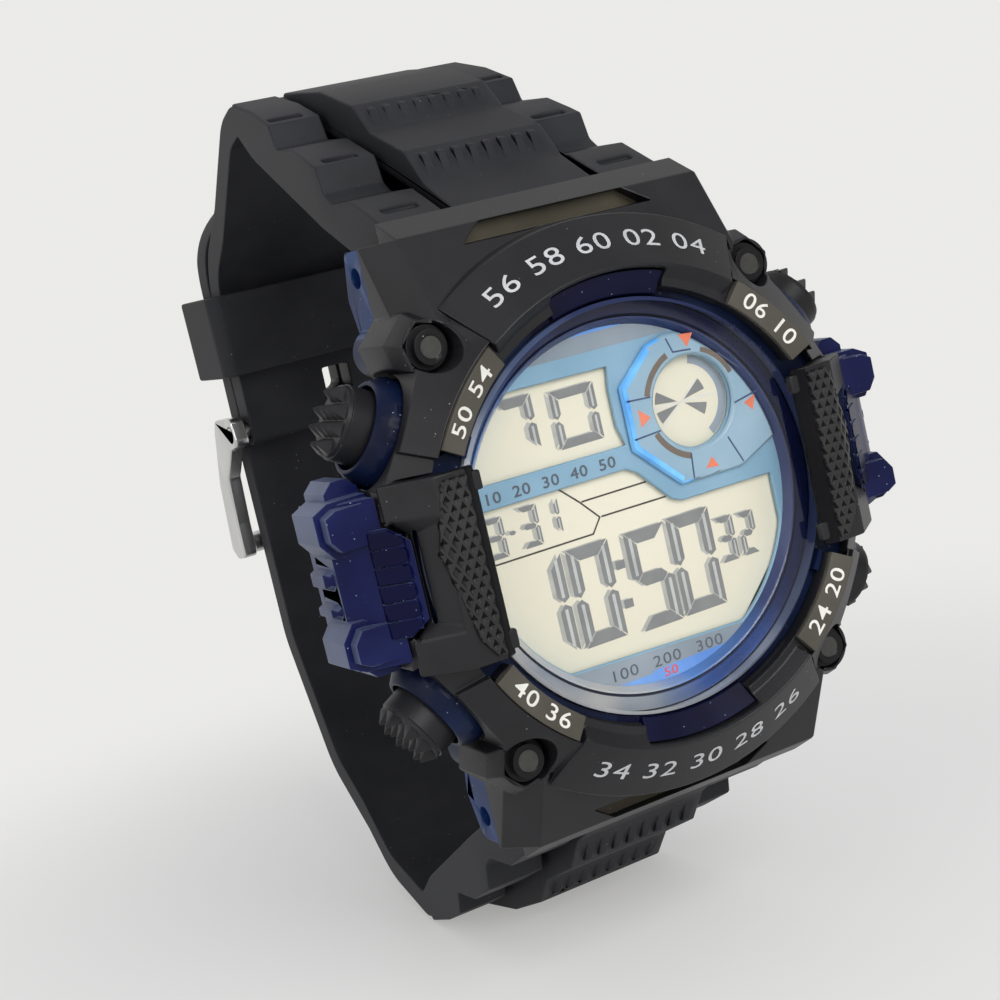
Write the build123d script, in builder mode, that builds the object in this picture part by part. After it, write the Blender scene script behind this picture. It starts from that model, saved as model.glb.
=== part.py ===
from build123d import *
import os
from math import atan2, cos, degrees, hypot, radians, sin, tan

# Digital wrist watch on its buckled two-part resin strap, in millimetres.
# +Z points to 12 o'clock, +X to 3 o'clock, and the dial faces -Y.
# The origin is the middle of the strap loop, where the wrist goes.

# Frame: a depth is measured from the front plane of the label plates, back towards the wrist
face_reach = 36.5
cut_overrun = 2.0
seat_gap = 0.05
running_gap = 0.06
moulding_gap = 0.12

# Case body, the translucent inner case
body_radius = 19.6
body_front_depth = 2.2
body_back_depth = 13.2
cavity_radius = 15.8
dial_ledge_depth = 4.1
dial_opening_radius = 14.9
crystal_seat_depth = 3.5
post_radius = 2.0
post_front_depth = 6.0
collar_radius = 4.35
collar_shoulder_reach = 21.7
collar_tip_radius = 3.65
collar_reach = 22.9
collar_root = 17.0
collar_notch_radius = 4.6
collar_flat_reach = 21.3
tab_half_angle = 16.5
tab_inner_radius = 16.5
tab_outer_radius = 18.3
tab_inner_depth = 1.75
tab_outer_depth = 0.7

# Lugs and spring bars
lug_inner_half = 12.95
lug_thickness = 2.35
lug_root_height = 11.0
lug_front_depth = 9.9
lug_back_depth = 14.5
lug_top_height = 24.3
lug_shoulder_height = 20.6
bar_depth = 11.9
bar_height = 22.2
bar_radius = 0.75
bar_tip_length = 1.5

# Crystal
crystal_radius = 16.3
crystal_edge_depth = 1.5
crystal_crown_depth = 1.0
crystal_back_depth = 3.2
crystal_bevel = 0.5
crystal_dome_share = 0.6
crystal_dome_depth = 1.15
gasket_inner_radius = 15.1

# Cover, the black shell round the case
cover_ring_radius = 22.0
cover_inner_radius = 17.05
cover_back_depth = 9.8
cover_ledge_depth = 0.9
cover_brow_depth = 0.3
cover_brow_edge_depth = 2.95
brow_step_angle = 26.0
brow_step = 0.8
block_half_width = 13.65
block_side_half = 15.6
block_side_fall = 3.0
block_root_height = 17.5
block_root_depth = 2.65
ridge_low_height = 24.4
ridge_low_depth = 6.5
ridge_height = 25.9
ridge_depth = 9.55
block_back_depth = 9.8
recess_half_width = 6.5
recess_low_half = 8.6
recess_depth = 7.6
side_half_width = 21.4
side_half_height = 7.4
guard_seat_depth = 3.1
arc_half_angle = 35.0
arc_crest_radius = 18.7
arc_crest_depth = -0.1
arc_outer_radius = 22.9
arc_outer_depth = 3.05
arc_inner_radius = 16.9
arc_inner_depth = 1.75
arc_skirt_depth = 7.0

# Screw housings and cover screws
screw_x = 14.55
screw_z = 16.2
housing_radius = 3.0
housing_turn = 15.0
housing_depth = 4.9
housing_rise = 1.6
housing_taper = 22.0
well_radius = 1.95
well_depth = 4.6
screw_head_radius = 1.75
screw_top_depth = 2.75
screw_flange_depth = 3.5
screw_pin_radius = 1.1
screw_disc_radius = 0.7
screw_disc_sink = 0.12
screw_shank_radius = 0.7
screw_end_depth = 11.0

# Label plates
plate_outer_radius = 19.0
plate_start_angle = 28.0
plate_end_angle = 53.6
plate_inner_depth = 0.35

# Side guards and bumpers
guard_half_height = 7.3
guard_lip_x = 14.6
guard_lip_depth = 0.3
guard_lip_under = 0.85
guard_strip_inner_x = 15.6
guard_strip_outer_x = 17.8
guard_strip_depth = -0.55
guard_strip_step = 0.4
guard_foot_x = 17.3
guard_edge_depth = 2.85
window_top = 4.5
window_bottom = -4.5
window_x = 19.8
window_corner = 1.2
window_flare_depth = 2.6
window_flare = 35.0
insert_gap = 0.3
insert_front_depth = 1.8
insert_pocket_depth = 4.6
bumper_seat_x = 21.5
bumper_shoulder_x = 22.4
bumper_shoulder_depth = 3.95
bumper_face_x = 24.1
bumper_face_depth = 5.15
bumper_edge_x = 24.95
bumper_edge_depth = 5.9
bumper_back_depth = 10.3
bumper_top = 6.6
bumper_bottom = -6.1
bumper_tip_x = 25.95
bumper_tip_depth = 7.5
block_slit_depth = 6.4
block_slit = 0.15
block_slit_sink = 0.2
block_face_depth = 5.25
block_lower_taper = 29.0
block_upper_taper = 41.0
block_top = 6.9
block_top_low = 2.7
block_bottom = -6.1
block_bottom_high = -2.2
block_end_fall = 1.3
bumper_tooth_x = 25.65
bumper_tooth_depth = 6.9
bumper_tooth_rise = 0.6
bumper_tooth_taper = 30.0
bumper_tooth_back = 9.4
bumper_tooth_ends = ((0.2, 1.9), (-2.1, -0.8))
flange_x = 24.3
flange_depth = 6.2
flange_top = 8.2
flange_bottom = -7.0
flange_chamfer = 0.8
rib_count = 6
rib_margin = 0.5
rib_height = 0.25
rib_fill_share = 0.86

# Pushers
pusher_angle = 30.0
pusher_depth = 8.0
pusher_radius = 2.97
pusher_rim_radius = 2.83
pusher_base_reach = 21.4
pusher_face_reach = 24.8
pusher_rim_step = 0.35
pusher_travel = 1.0
collar_bore_reach = 20.2
pusher_hole_radius = 3.3
spike_pitch = 1.22
spike_row_pitch = 1.36
spike_size = 1.16
spike_row_size = 1.24
spike_height = 1.05
spike_taper = 27.0
stem_radius = 0.9
stem_end_reach = 14.6
seal_pocket_radius = 1.9
seal_pocket_reach = 17.2
seal_height = 0.7
spring_wire_radius = 0.16
spring_mean_radius = 1.45
spring_pitch = 0.95
clip_outer_radius = 1.25
clip_thickness = 0.3
clip_reach = 15.35

# Dial, display and module
dial_radius = 15.6
dial_thickness = 0.5
window_half_width = 13.4
upper_window_low = 4.75
upper_window_high = 11.3
upper_window_right = 0.2
lower_window_high = 2.6
lower_window_low = -11.4
sub_window_x = 7.4
sub_window_z = 6.8
sub_window_radius = 3.9
octagon_radius = 7.35
octagon_inner_radius = 5.6
octagon_height = 0.55
lcd_half_width = 13.5
lcd_half_height = 12.5
lcd_corner = 6.0
lcd_thickness = 1.4
backlight_thickness = 0.55
frame_radius = 15.4
frame_back_depth = 9.3
frame_notch_reach = 13.2
board_radius = 14.8
board_thickness = 0.8
board_flat = 12.6
connector_length = 17.0
connector_width = 0.8
battery_radius = 10.0
battery_thickness = 1.6
battery_rim = 0.35
battery_gap = 0.08
clip_plate_half_width = 3.0
clip_plate_thickness = 0.2
clip_plate_half_length = 12.4
contact_width = 2.0
contact_height = 2.2
contact_thickness = 0.25
contact_reach = 13.3
buzzer_radius = 7.0
buzzer_thickness = 0.25

# Case back
back_half_width = 15.2
back_corner_radius = 6.0
back_thickness = 1.6
back_plate_radius = 12.0
back_step = 0.35
back_screw_offset = 12.8
back_screw_radius = 0.6
back_screw_head_radius = 1.15
back_screw_head_sink = 0.9
back_screw_length = 4.5
groove_inner_radius = 16.3
groove_outer_radius = 17.1
groove_depth = 0.6

# Strap: shares of the loop's depth and half height, chosen along the side view
loop_depth = 65.4
loop_half_height = 39.7
band_thickness = 2.8
tail_thickness = 2.6
strap_front_half = 12.85
strap_rear_half = 10.5
taper_start_depth = 22.0
taper_end_depth = 54.0
strap_front_depth = 9.9
strap_end_low = 20.15
strap_end_back = 14.3
bar_bore_radius = 0.85
plate_half_width = 6.5
groove_width = 0.8
band_top_shares = ((0.545, 0.922), (0.602, 1.0), (0.680, 0.972), (0.940, 0.652))
band_foot_height = 23.6
link_top_shares = (
    (0.228, 0.708), (0.290, 0.714), (0.307, 0.736), (0.316, 0.796), (0.386, 0.848),
    (0.450, 0.860), (0.462, 0.916), (0.524, 0.960), (0.602, 0.997),
)
plate_top_shares = (
    (0.222, 0.711), (0.260, 0.786), (0.345, 0.845), (0.382, 0.912), (0.475, 0.968), (0.602, 0.999),
)
link_start_height = 25.55
slot_sink = 0.5
slot_width = 0.9
slot_inset = 1.2
slot_lean = 24.5
slot_places_shares = ((0.188, 0.677), (0.330, 0.806), (0.478, 0.928))
tooth_count = 8
tooth_pitch = 1.45
tooth_width = 0.8
tooth_height = 0.75
tooth_rows_shares = ((0.228, 0.720, 0.255, 0.777), (0.350, 0.852, 0.378, 0.902))
lower_top_shares = (
    (0.545, 0.922), (0.612, 1.0), (0.762, 0.945), (0.925, 0.70), (1.0, 0.353),
    (0.994, -0.202), (0.982, -0.642), (0.936, -0.784), (0.864, -0.838),
)
bend_radius = 8.0
crest_radius = 3.5
end_radius = 1.2
tail_tip_radius = 7.0
tail_tip_height = 33.3
hole_length = 5.6
hole_width = 2.6
hole_pitch = 6.6
hole_shift = 1.95
hole_offsets = (-3, -2, -1, 0, 1, 2)

# Buckle: pin, frame, tongue and keeper
pin_depth = 60.75
pin_height = 9.0
pin_radius = 0.7
pin_bore_radius = 0.76
band_end_height = 7.4
tongue_notch_half = 1.45
rail_inner_half = 10.95
rail_thickness = 1.5
crossbar_depth = 67.3
crossbar_height = -3.3
crossbar_radius = 1.1
rail_outline_shares = (
    (-0.22, -0.10), (-0.12, 0.13), (0.62, 0.12), (0.76, 0.02), (1.16, -0.44),
    (1.36, -1.04), (1.16, -1.12), (0.80, -1.10), (0.76, -0.80), (0.66, -0.40), (0.16, -0.14),
)
rail_corner_radius = 0.7
tongue_width = 2.1
tongue_thickness = 1.1
tongue_eye_radius = 1.35
tongue_tip_height = -4.9
tongue_bend_depth = 66.0
tongue_bend_height = 5.0
keeper_height = 8.2
keeper_centre = 18.9
keeper_wall = 1.7
keeper_gap = 0.35
band_rise = 0.55
keeper_corner = 1.4

# Values worked out from the sizes above
dial_back_depth = dial_ledge_depth + dial_thickness
lcd_front_depth = dial_back_depth + seat_gap
lcd_back_depth = lcd_front_depth + lcd_thickness
backlight_back_depth = lcd_back_depth + seat_gap + backlight_thickness
board_front_depth = frame_back_depth + seat_gap
board_back_depth = board_front_depth + board_thickness
battery_front_depth = board_back_depth + battery_gap
battery_back_depth = battery_front_depth + battery_thickness
back_front_depth = body_back_depth + seat_gap
back_rear_depth = back_front_depth + back_thickness
block_slit_inset = (bumper_tip_depth - block_slit_depth - block_slit) * tan(radians(block_lower_taper))
collar_taper = degrees(atan2(collar_radius - collar_tip_radius, collar_reach - collar_shoulder_reach))
pusher_angles = (pusher_angle, 180 - pusher_angle, 180 + pusher_angle, 360 - pusher_angle)
pusher_names = ("upper_right", "upper_left", "lower_left", "lower_right")
corner_signs = ((1, 1), (-1, 1), (-1, -1), (1, -1))


def face_plane(depth):
    """Plane parallel to the dial at a depth, its normal towards the viewer."""
    return Plane(origin=(0, depth - face_reach, 0), x_dir=(1, 0, 0), z_dir=(0, -1, 0))


def side_plane(x):
    """Plane across the watch at x: its own x is the depth and its own y the height."""
    return Plane(origin=(x, -face_reach, 0), x_dir=(0, 1, 0), z_dir=(1, 0, 0))


def lathe_plane(angle):
    """Plane through the dial axis at an angle from 3 o'clock, for revolved profiles."""
    turn = radians(angle)
    return Plane(origin=(0, -face_reach, 0), x_dir=(cos(turn), 0, sin(turn)), z_dir=(-sin(turn), 0, cos(turn)))


def pusher_plane(angle, reach):
    """Plane square to a pusher's axis at a distance from the case's centre."""
    turn = radians(angle)
    place = (reach * cos(turn), pusher_depth - face_reach, reach * sin(turn))
    return Plane(origin=place, x_dir=(0, 1, 0), z_dir=(cos(turn), 0, sin(turn)))


def loop_point(share, sign=1):
    """Turn a pair of shares into a depth and a height on the strap loop."""
    return (share[0] * loop_depth, sign * share[1] * loop_half_height)


def offset_path(points, distance):
    """Shift an open line of points sideways by a distance, to the right of its direction."""
    shifted = []
    for index, (u, v) in enumerate(points):
        before = points[max(index - 1, 0)]
        after = points[min(index + 1, len(points) - 1)]
        normals = []
        for start, end in ((before, (u, v)), ((u, v), after)):
            run = hypot(end[0] - start[0], end[1] - start[1])
            if run > 0:
                normals.append(((end[1] - start[1]) / run, (start[0] - end[0]) / run))
        first, last = normals[0], normals[-1]
        blend = 1 + first[0] * last[0] + first[1] * last[1]
        shifted.append((
            u + distance * (first[0] + last[0]) / blend,
            v + distance * (first[1] + last[1]) / blend,
        ))
    return shifted


def flip(points):
    """Mirror side-view points from the 12 o'clock half to the 6 o'clock half."""
    return [(u, -v) for u, v in points]


# Case body: cylinder, screw posts, lugs, pusher collars and the two tabs in the cover's arcs
with BuildPart() as case_body:
    with BuildSketch(face_plane(body_back_depth)):
        Circle(body_radius)
    extrude(amount=body_back_depth - body_front_depth)
    with BuildSketch(face_plane(body_back_depth)):
        with Locations(*[(sx * screw_x, sz * screw_z) for sx, sz in corner_signs]):
            Circle(post_radius)
    extrude(amount=body_back_depth - post_front_depth)
    for sx, sz in corner_signs:
        with BuildSketch(side_plane(sx * lug_inner_half)):
            with BuildLine():
                FilletPolyline(
                    (lug_front_depth, sz * lug_root_height),
                    (body_back_depth, sz * lug_root_height),
                    (body_back_depth, sz * (back_half_width + back_step)),
                    (lug_back_depth, sz * lug_shoulder_height),
                    ((lug_back_depth + bar_depth) / 2, sz * lug_top_height),
                    (lug_front_depth, sz * lug_top_height),
                    radius=(0, 0, bar_radius, bar_radius, bar_radius, bar_radius),
                    close=True,
                )
            make_face()
        extrude(amount=sx * lug_thickness)
    for angle in pusher_angles:
        with BuildSketch(pusher_plane(angle, collar_root)):
            Circle(collar_radius)
        extrude(amount=collar_shoulder_reach - collar_root)
        with BuildSketch(pusher_plane(angle, collar_shoulder_reach)):
            Circle(collar_radius)
        extrude(amount=collar_reach - collar_shoulder_reach, taper=collar_taper)
    for middle in (90, 270):
        with BuildSketch(lathe_plane(middle + tab_half_angle)):
            with BuildLine():
                Polyline(
                    (tab_inner_radius, body_front_depth + cut_overrun),
                    (tab_inner_radius, tab_inner_depth),
                    (tab_outer_radius, tab_outer_depth),
                    (tab_outer_radius, body_front_depth + cut_overrun),
                    close=True,
                )
            make_face()
        revolve(axis=Axis.Y, revolution_arc=2 * tab_half_angle)
    with BuildSketch(face_plane(body_back_depth + cut_overrun)):
        Circle(cavity_radius)
    extrude(amount=body_back_depth + cut_overrun - dial_ledge_depth, mode=Mode.SUBTRACT)
    with BuildSketch(face_plane(dial_ledge_depth + cut_overrun)):
        Circle(dial_opening_radius)
    extrude(amount=dial_ledge_depth + cut_overrun, mode=Mode.SUBTRACT)
    with BuildSketch(face_plane(crystal_seat_depth)):
        Circle(crystal_radius + seat_gap)
    extrude(amount=crystal_seat_depth + cut_overrun, mode=Mode.SUBTRACT)
    for angle in pusher_angles:
        with BuildSketch(pusher_plane(angle, collar_bore_reach)):
            Circle(pusher_hole_radius)
        extrude(amount=collar_reach, mode=Mode.SUBTRACT)
        with BuildSketch(pusher_plane(angle, seal_pocket_reach)):
            Circle(seal_pocket_radius)
        extrude(amount=collar_reach, mode=Mode.SUBTRACT)
        with BuildSketch(pusher_plane(angle, stem_end_reach)):
            Circle(stem_radius + running_gap)
        extrude(amount=collar_reach - stem_end_reach, mode=Mode.SUBTRACT)
    with BuildSketch(face_plane(screw_end_depth + seat_gap)):
        with Locations(*[(sx * screw_x, sz * screw_z) for sx, sz in corner_signs]):
            Circle(screw_shank_radius + seat_gap)
    extrude(amount=screw_end_depth, mode=Mode.SUBTRACT)
    for sz in (1, -1):
        with BuildSketch(side_plane(-block_side_half)):
            with Locations((bar_depth, sz * bar_height)):
                Circle(bar_radius + seat_gap)
        extrude(amount=2 * block_side_half, mode=Mode.SUBTRACT)
    with BuildSketch(face_plane(body_back_depth)):
        Circle(groove_outer_radius)
        Circle(groove_inner_radius, mode=Mode.SUBTRACT)
    extrude(amount=groove_depth, mode=Mode.SUBTRACT)
    with BuildSketch(face_plane(body_back_depth)):
        with Locations(*[(sx * back_screw_offset, sz * back_screw_offset) for sx, sz in corner_signs]):
            Circle(back_screw_radius + seat_gap)
    extrude(amount=back_screw_length, mode=Mode.SUBTRACT)

# Cover: ring with a sloping brow, end blocks with ridges, raised arcs and screw housings
with BuildPart() as case_cover:
    with BuildSketch(lathe_plane(0)):
        with BuildLine():
            Polyline(
                (cover_inner_radius, cover_ledge_depth),
                (plate_outer_radius + seat_gap, cover_ledge_depth),
                (plate_outer_radius + seat_gap, cover_brow_depth),
                (cover_ring_radius, cover_brow_edge_depth),
                (cover_ring_radius, cover_back_depth),
                (cover_inner_radius, cover_back_depth),
                close=True,
            )
        make_face()
    revolve(axis=Axis.Y)
    for sz in (1, -1):
        with BuildSketch(Plane.XY.offset(sz * block_root_height)):
            with BuildLine():
                Polyline(
                    (block_half_width, block_root_depth - face_reach),
                    (block_side_half, block_root_depth + block_side_fall - face_reach),
                    (block_side_half, block_back_depth - face_reach),
                    (-block_side_half, block_back_depth - face_reach),
                    (-block_side_half, block_root_depth + block_side_fall - face_reach),
                    (-block_half_width, block_root_depth - face_reach),
                    close=True,
                )
            make_face()
        with BuildSketch(Plane.XY.offset(sz * ridge_low_height)):
            with BuildLine():
                Polyline(
                    (block_half_width, ridge_low_depth - face_reach),
                    (block_side_half, ridge_low_depth + block_side_fall - face_reach),
                    (block_side_half, block_back_depth - face_reach),
                    (-block_side_half, block_back_depth - face_reach),
                    (-block_side_half, ridge_low_depth + block_side_fall - face_reach),
                    (-block_half_width, ridge_low_depth - face_reach),
                    close=True,
                )
            make_face()
        loft(ruled=True)
        with BuildSketch(side_plane(-block_half_width)):
            with BuildLine():
                Polyline(
                    (block_back_depth, sz * lug_shoulder_height),
                    (block_back_depth, sz * ridge_height),
                    (ridge_depth, sz * ridge_height),
                    (ridge_low_depth, sz * ridge_low_height),
                    (ridge_low_depth, sz * lug_shoulder_height),
                    close=True,
                )
            make_face()
        extrude(amount=2 * block_half_width)
    for middle in (90, 270):
        with BuildSketch(lathe_plane(middle + arc_half_angle)):
            with BuildLine():
                Polyline(
                    (arc_inner_radius, body_front_depth),
                    (arc_inner_radius, arc_inner_depth),
                    (arc_crest_radius, arc_crest_depth),
                    (arc_outer_radius, arc_outer_depth),
                    (arc_outer_radius, arc_skirt_depth),
                    (arc_inner_radius, arc_skirt_depth),
                    close=True,
                )
            make_face()
        revolve(axis=Axis.Y, revolution_arc=2 * arc_half_angle)
    for sx, sz in corner_signs:
        with BuildSketch(face_plane(housing_depth)):
            with Locations((sx * screw_x, sz * screw_z)):
                RegularPolygon(housing_radius, 6, rotation=sx * sz * housing_turn)
        extrude(amount=housing_rise, taper=housing_taper)
        with BuildSketch(face_plane(cover_back_depth)):
            with Locations((sx * screw_x, sz * screw_z)):
                RegularPolygon(housing_radius, 6, rotation=sx * sz * housing_turn)
        extrude(amount=cover_back_depth - housing_depth)
    with BuildSketch(face_plane(cover_back_depth)):
        Rectangle(2 * side_half_width, 2 * side_half_height)
    extrude(amount=cover_back_depth - guard_seat_depth)
    with BuildSketch(face_plane(cover_back_depth)):
        for sx in (1, -1):
            with Locations((sx * (side_half_width + cut_overrun / 2), 0)):
                Rectangle(cut_overrun, 2 * side_half_height)
    extrude(amount=cover_back_depth, mode=Mode.SUBTRACT)
    # The body's bore, the pocket behind each arc and the seats of guards, tabs and collars
    with BuildSketch(face_plane(cover_back_depth + cut_overrun)):
        Circle(body_radius + moulding_gap)
    extrude(amount=cover_back_depth + cut_overrun - body_front_depth + seat_gap, mode=Mode.SUBTRACT)
    with BuildSketch(face_plane(cover_back_depth + cut_overrun)):
        Circle(arc_inner_radius)
    extrude(amount=cover_back_depth + 2 * cut_overrun, mode=Mode.SUBTRACT)
    with BuildSketch(face_plane(guard_seat_depth)):
        Rectangle(2 * (cover_ring_radius + cut_overrun), 2 * side_half_height)
    extrude(amount=guard_seat_depth + cut_overrun, mode=Mode.SUBTRACT)
    with BuildSketch(face_plane(insert_pocket_depth)):
        for sx in (1, -1):
            with Locations((sx * (window_x + side_half_width + cut_overrun) / 2, (window_top + window_bottom) / 2)):
                Rectangle(side_half_width + cut_overrun - window_x, window_top - window_bottom)
    extrude(amount=insert_pocket_depth, mode=Mode.SUBTRACT)
    for middle in (0, 180):
        with BuildSketch(lathe_plane(middle + plate_start_angle)):
            with BuildLine():
                Polyline(
                    (arc_inner_radius - cut_overrun, -cut_overrun),
                    (plate_outer_radius, -cut_overrun),
                    (plate_outer_radius, body_front_depth),
                    (arc_inner_radius - cut_overrun, body_front_depth),
                    close=True,
                )
            make_face()
        revolve(axis=Axis.Y, revolution_arc=2 * plate_start_angle, mode=Mode.SUBTRACT)
        with BuildSketch(lathe_plane(middle + brow_step_angle)):
            with BuildLine():
                Polyline(
                    (plate_outer_radius, -cut_overrun),
                    (cover_ring_radius + brow_step, -cut_overrun),
                    (cover_ring_radius + brow_step, cover_brow_edge_depth + 2 * brow_step),
                    (plate_outer_radius, cover_brow_depth + brow_step),
                    close=True,
                )
            make_face()
        revolve(axis=Axis.Y, revolution_arc=2 * brow_step_angle, mode=Mode.SUBTRACT)
    for middle in (90, 270):
        with BuildSketch(lathe_plane(middle + tab_half_angle + moulding_gap)):
            with BuildLine():
                Polyline(
                    (arc_inner_radius - cut_overrun, arc_crest_depth - cut_overrun),
                    (tab_outer_radius + moulding_gap, arc_crest_depth - cut_overrun),
                    (tab_outer_radius + moulding_gap, body_front_depth),
                    (arc_inner_radius - cut_overrun, body_front_depth),
                    close=True,
                )
            make_face()
        revolve(axis=Axis.Y, revolution_arc=2 * (tab_half_angle + moulding_gap), mode=Mode.SUBTRACT)
    for sz in (1, -1):
        with BuildSketch(face_plane(recess_depth)):
            with BuildLine():
                Polyline(
                    (-recess_half_width, sz * ridge_low_height),
                    (recess_half_width, sz * ridge_low_height),
                    (recess_low_half, sz * arc_outer_radius),
                    (-recess_low_half, sz * arc_outer_radius),
                    close=True,
                )
            make_face()
            Circle(arc_outer_radius, mode=Mode.SUBTRACT)
        extrude(amount=recess_depth, mode=Mode.SUBTRACT)
    for angle in pusher_angles:
        with BuildSketch(pusher_plane(angle, collar_root)):
            Circle(collar_notch_radius)
        extrude(amount=collar_reach, mode=Mode.SUBTRACT)
        with BuildSketch(pusher_plane(angle, collar_flat_reach)):
            with Locations((-collar_radius, 0)):
                Rectangle(2 * collar_radius, 2 * collar_notch_radius)
        extrude(amount=collar_root, mode=Mode.SUBTRACT)
    with BuildSketch(face_plane(well_depth)):
        with Locations(*[(sx * screw_x, sz * screw_z) for sx, sz in corner_signs]):
            Circle(well_radius)
    extrude(amount=well_depth + cut_overrun, mode=Mode.SUBTRACT)
    with BuildSketch(face_plane(cover_back_depth + cut_overrun)):
        with Locations(*[(sx * screw_x, sz * screw_z) for sx, sz in corner_signs]):
            Circle(post_radius + moulding_gap)
    extrude(amount=cover_back_depth + cut_overrun - post_front_depth + seat_gap, mode=Mode.SUBTRACT)
    with BuildSketch(face_plane(cover_back_depth)):
        with Locations(*[(sx * screw_x, sz * screw_z) for sx, sz in corner_signs]):
            Circle(screw_shank_radius + seat_gap)
    extrude(amount=cover_back_depth, mode=Mode.SUBTRACT)

# Cover screws: stepped round heads with a sunk disc, and plain shanks in the posts
with BuildPart() as cover_screws:
    with BuildSketch(face_plane(well_depth - seat_gap)):
        with Locations(*[(sx * screw_x, sz * screw_z) for sx, sz in corner_signs]):
            Circle(screw_head_radius)
    extrude(amount=well_depth - seat_gap - screw_flange_depth)
    with BuildSketch(face_plane(screw_end_depth)):
        with Locations(*[(sx * screw_x, sz * screw_z) for sx, sz in corner_signs]):
            Circle(screw_shank_radius)
    extrude(amount=screw_end_depth - screw_flange_depth)
    with BuildSketch(face_plane(screw_flange_depth)):
        with Locations(*[(sx * screw_x, sz * screw_z) for sx, sz in corner_signs]):
            Circle(screw_pin_radius)
    extrude(amount=screw_flange_depth - screw_top_depth)
    with BuildSketch(face_plane(screw_top_depth + screw_disc_sink)):
        with Locations(*[(sx * screw_x, sz * screw_z) for sx, sz in corner_signs]):
            Circle(screw_disc_radius)
    extrude(amount=screw_disc_sink, mode=Mode.SUBTRACT)

# Label plates: four sloping ring segments on the cover's ledge
with BuildPart() as label_plates:
    for start in (plate_start_angle, 180 - plate_end_angle, 180 + plate_start_angle, 360 - plate_end_angle):
        with BuildSketch(lathe_plane(start + plate_end_angle - plate_start_angle)):
            with BuildLine():
                Polyline(
                    (cover_inner_radius, plate_inner_depth),
                    (plate_outer_radius, 0),
                    (plate_outer_radius, cover_ledge_depth - seat_gap),
                    (cover_inner_radius, cover_ledge_depth - seat_gap),
                    close=True,
                )
            make_face()
        revolve(axis=Axis.Y, revolution_arc=plate_end_angle - plate_start_angle)

# Crystal: lens with a bevelled rim and a shallow dome
with BuildPart() as crystal:
    with BuildSketch(lathe_plane(0)):
        with BuildLine():
            Polyline(
                (0, crystal_back_depth),
                (crystal_radius, crystal_back_depth),
                (crystal_radius, crystal_edge_depth + crystal_bevel),
                (crystal_radius - crystal_bevel, crystal_edge_depth),
                (crystal_radius * crystal_dome_share, crystal_dome_depth),
                (0, crystal_crown_depth),
                close=True,
            )
        make_face()
    revolve(axis=Axis.Y)

with BuildPart() as crystal_gasket:
    with BuildSketch(face_plane(crystal_seat_depth)):
        Circle(crystal_radius - moulding_gap)
        Circle(gasket_inner_radius, mode=Mode.SUBTRACT)
    extrude(amount=crystal_seat_depth - crystal_back_depth)

# Guards: grips that lap over the crystal's edge, each with a window for its bumper's ribs
guards = {}
for side, sx in (("right", 1), ("left", -1)):
    with BuildPart() as guard:
        with BuildSketch(Plane(origin=(0, -face_reach, -guard_half_height), x_dir=(sx, 0, 0), z_dir=(0, 0, sx))):
            with BuildLine():
                Polyline(
                    (guard_lip_x, guard_lip_under),
                    (guard_lip_x, guard_lip_depth),
                    (guard_strip_inner_x - guard_strip_step, guard_lip_depth - guard_strip_step),
                    (guard_strip_inner_x, guard_strip_depth),
                    (guard_strip_outer_x, guard_strip_depth),
                    (guard_strip_outer_x + guard_strip_step, guard_strip_depth + guard_strip_step),
                    (side_half_width, guard_edge_depth),
                    (side_half_width, guard_seat_depth - seat_gap),
                    (body_radius + moulding_gap, guard_seat_depth - seat_gap),
                    (body_radius, body_front_depth - seat_gap),
                    (guard_foot_x, body_front_depth - seat_gap),
                    (guard_foot_x - guard_strip_step, guard_lip_under),
                    close=True,
                )
            make_face()
        extrude(amount=sx * 2 * guard_half_height)
        with BuildSketch(face_plane(guard_seat_depth + cut_overrun)):
            with BuildLine():
                Polyline(
                    (sx * (side_half_width + cut_overrun), window_top),
                    (sx * (window_x + window_corner), window_top),
                    (sx * window_x, window_top - window_corner),
                    (sx * window_x, window_bottom + window_corner),
                    (sx * (window_x + window_corner), window_bottom),
                    (sx * (side_half_width + cut_overrun), window_bottom),
                    close=True,
                )
            make_face()
        extrude(amount=guard_seat_depth + 2 * cut_overrun, mode=Mode.SUBTRACT)
        # The window flares towards the viewer
        with BuildSketch(face_plane(window_flare_depth)):
            with BuildLine():
                Polyline(
                    (sx * (side_half_width + cut_overrun), window_top),
                    (sx * (window_x + window_corner), window_top),
                    (sx * window_x, window_top - window_corner),
                    (sx * window_x, window_bottom + window_corner),
                    (sx * (window_x + window_corner), window_bottom),
                    (sx * (side_half_width + cut_overrun), window_bottom),
                    close=True,
                )
            make_face()
        extrude(amount=window_flare_depth, taper=-window_flare, mode=Mode.SUBTRACT)
    guards[side] = guard

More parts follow.
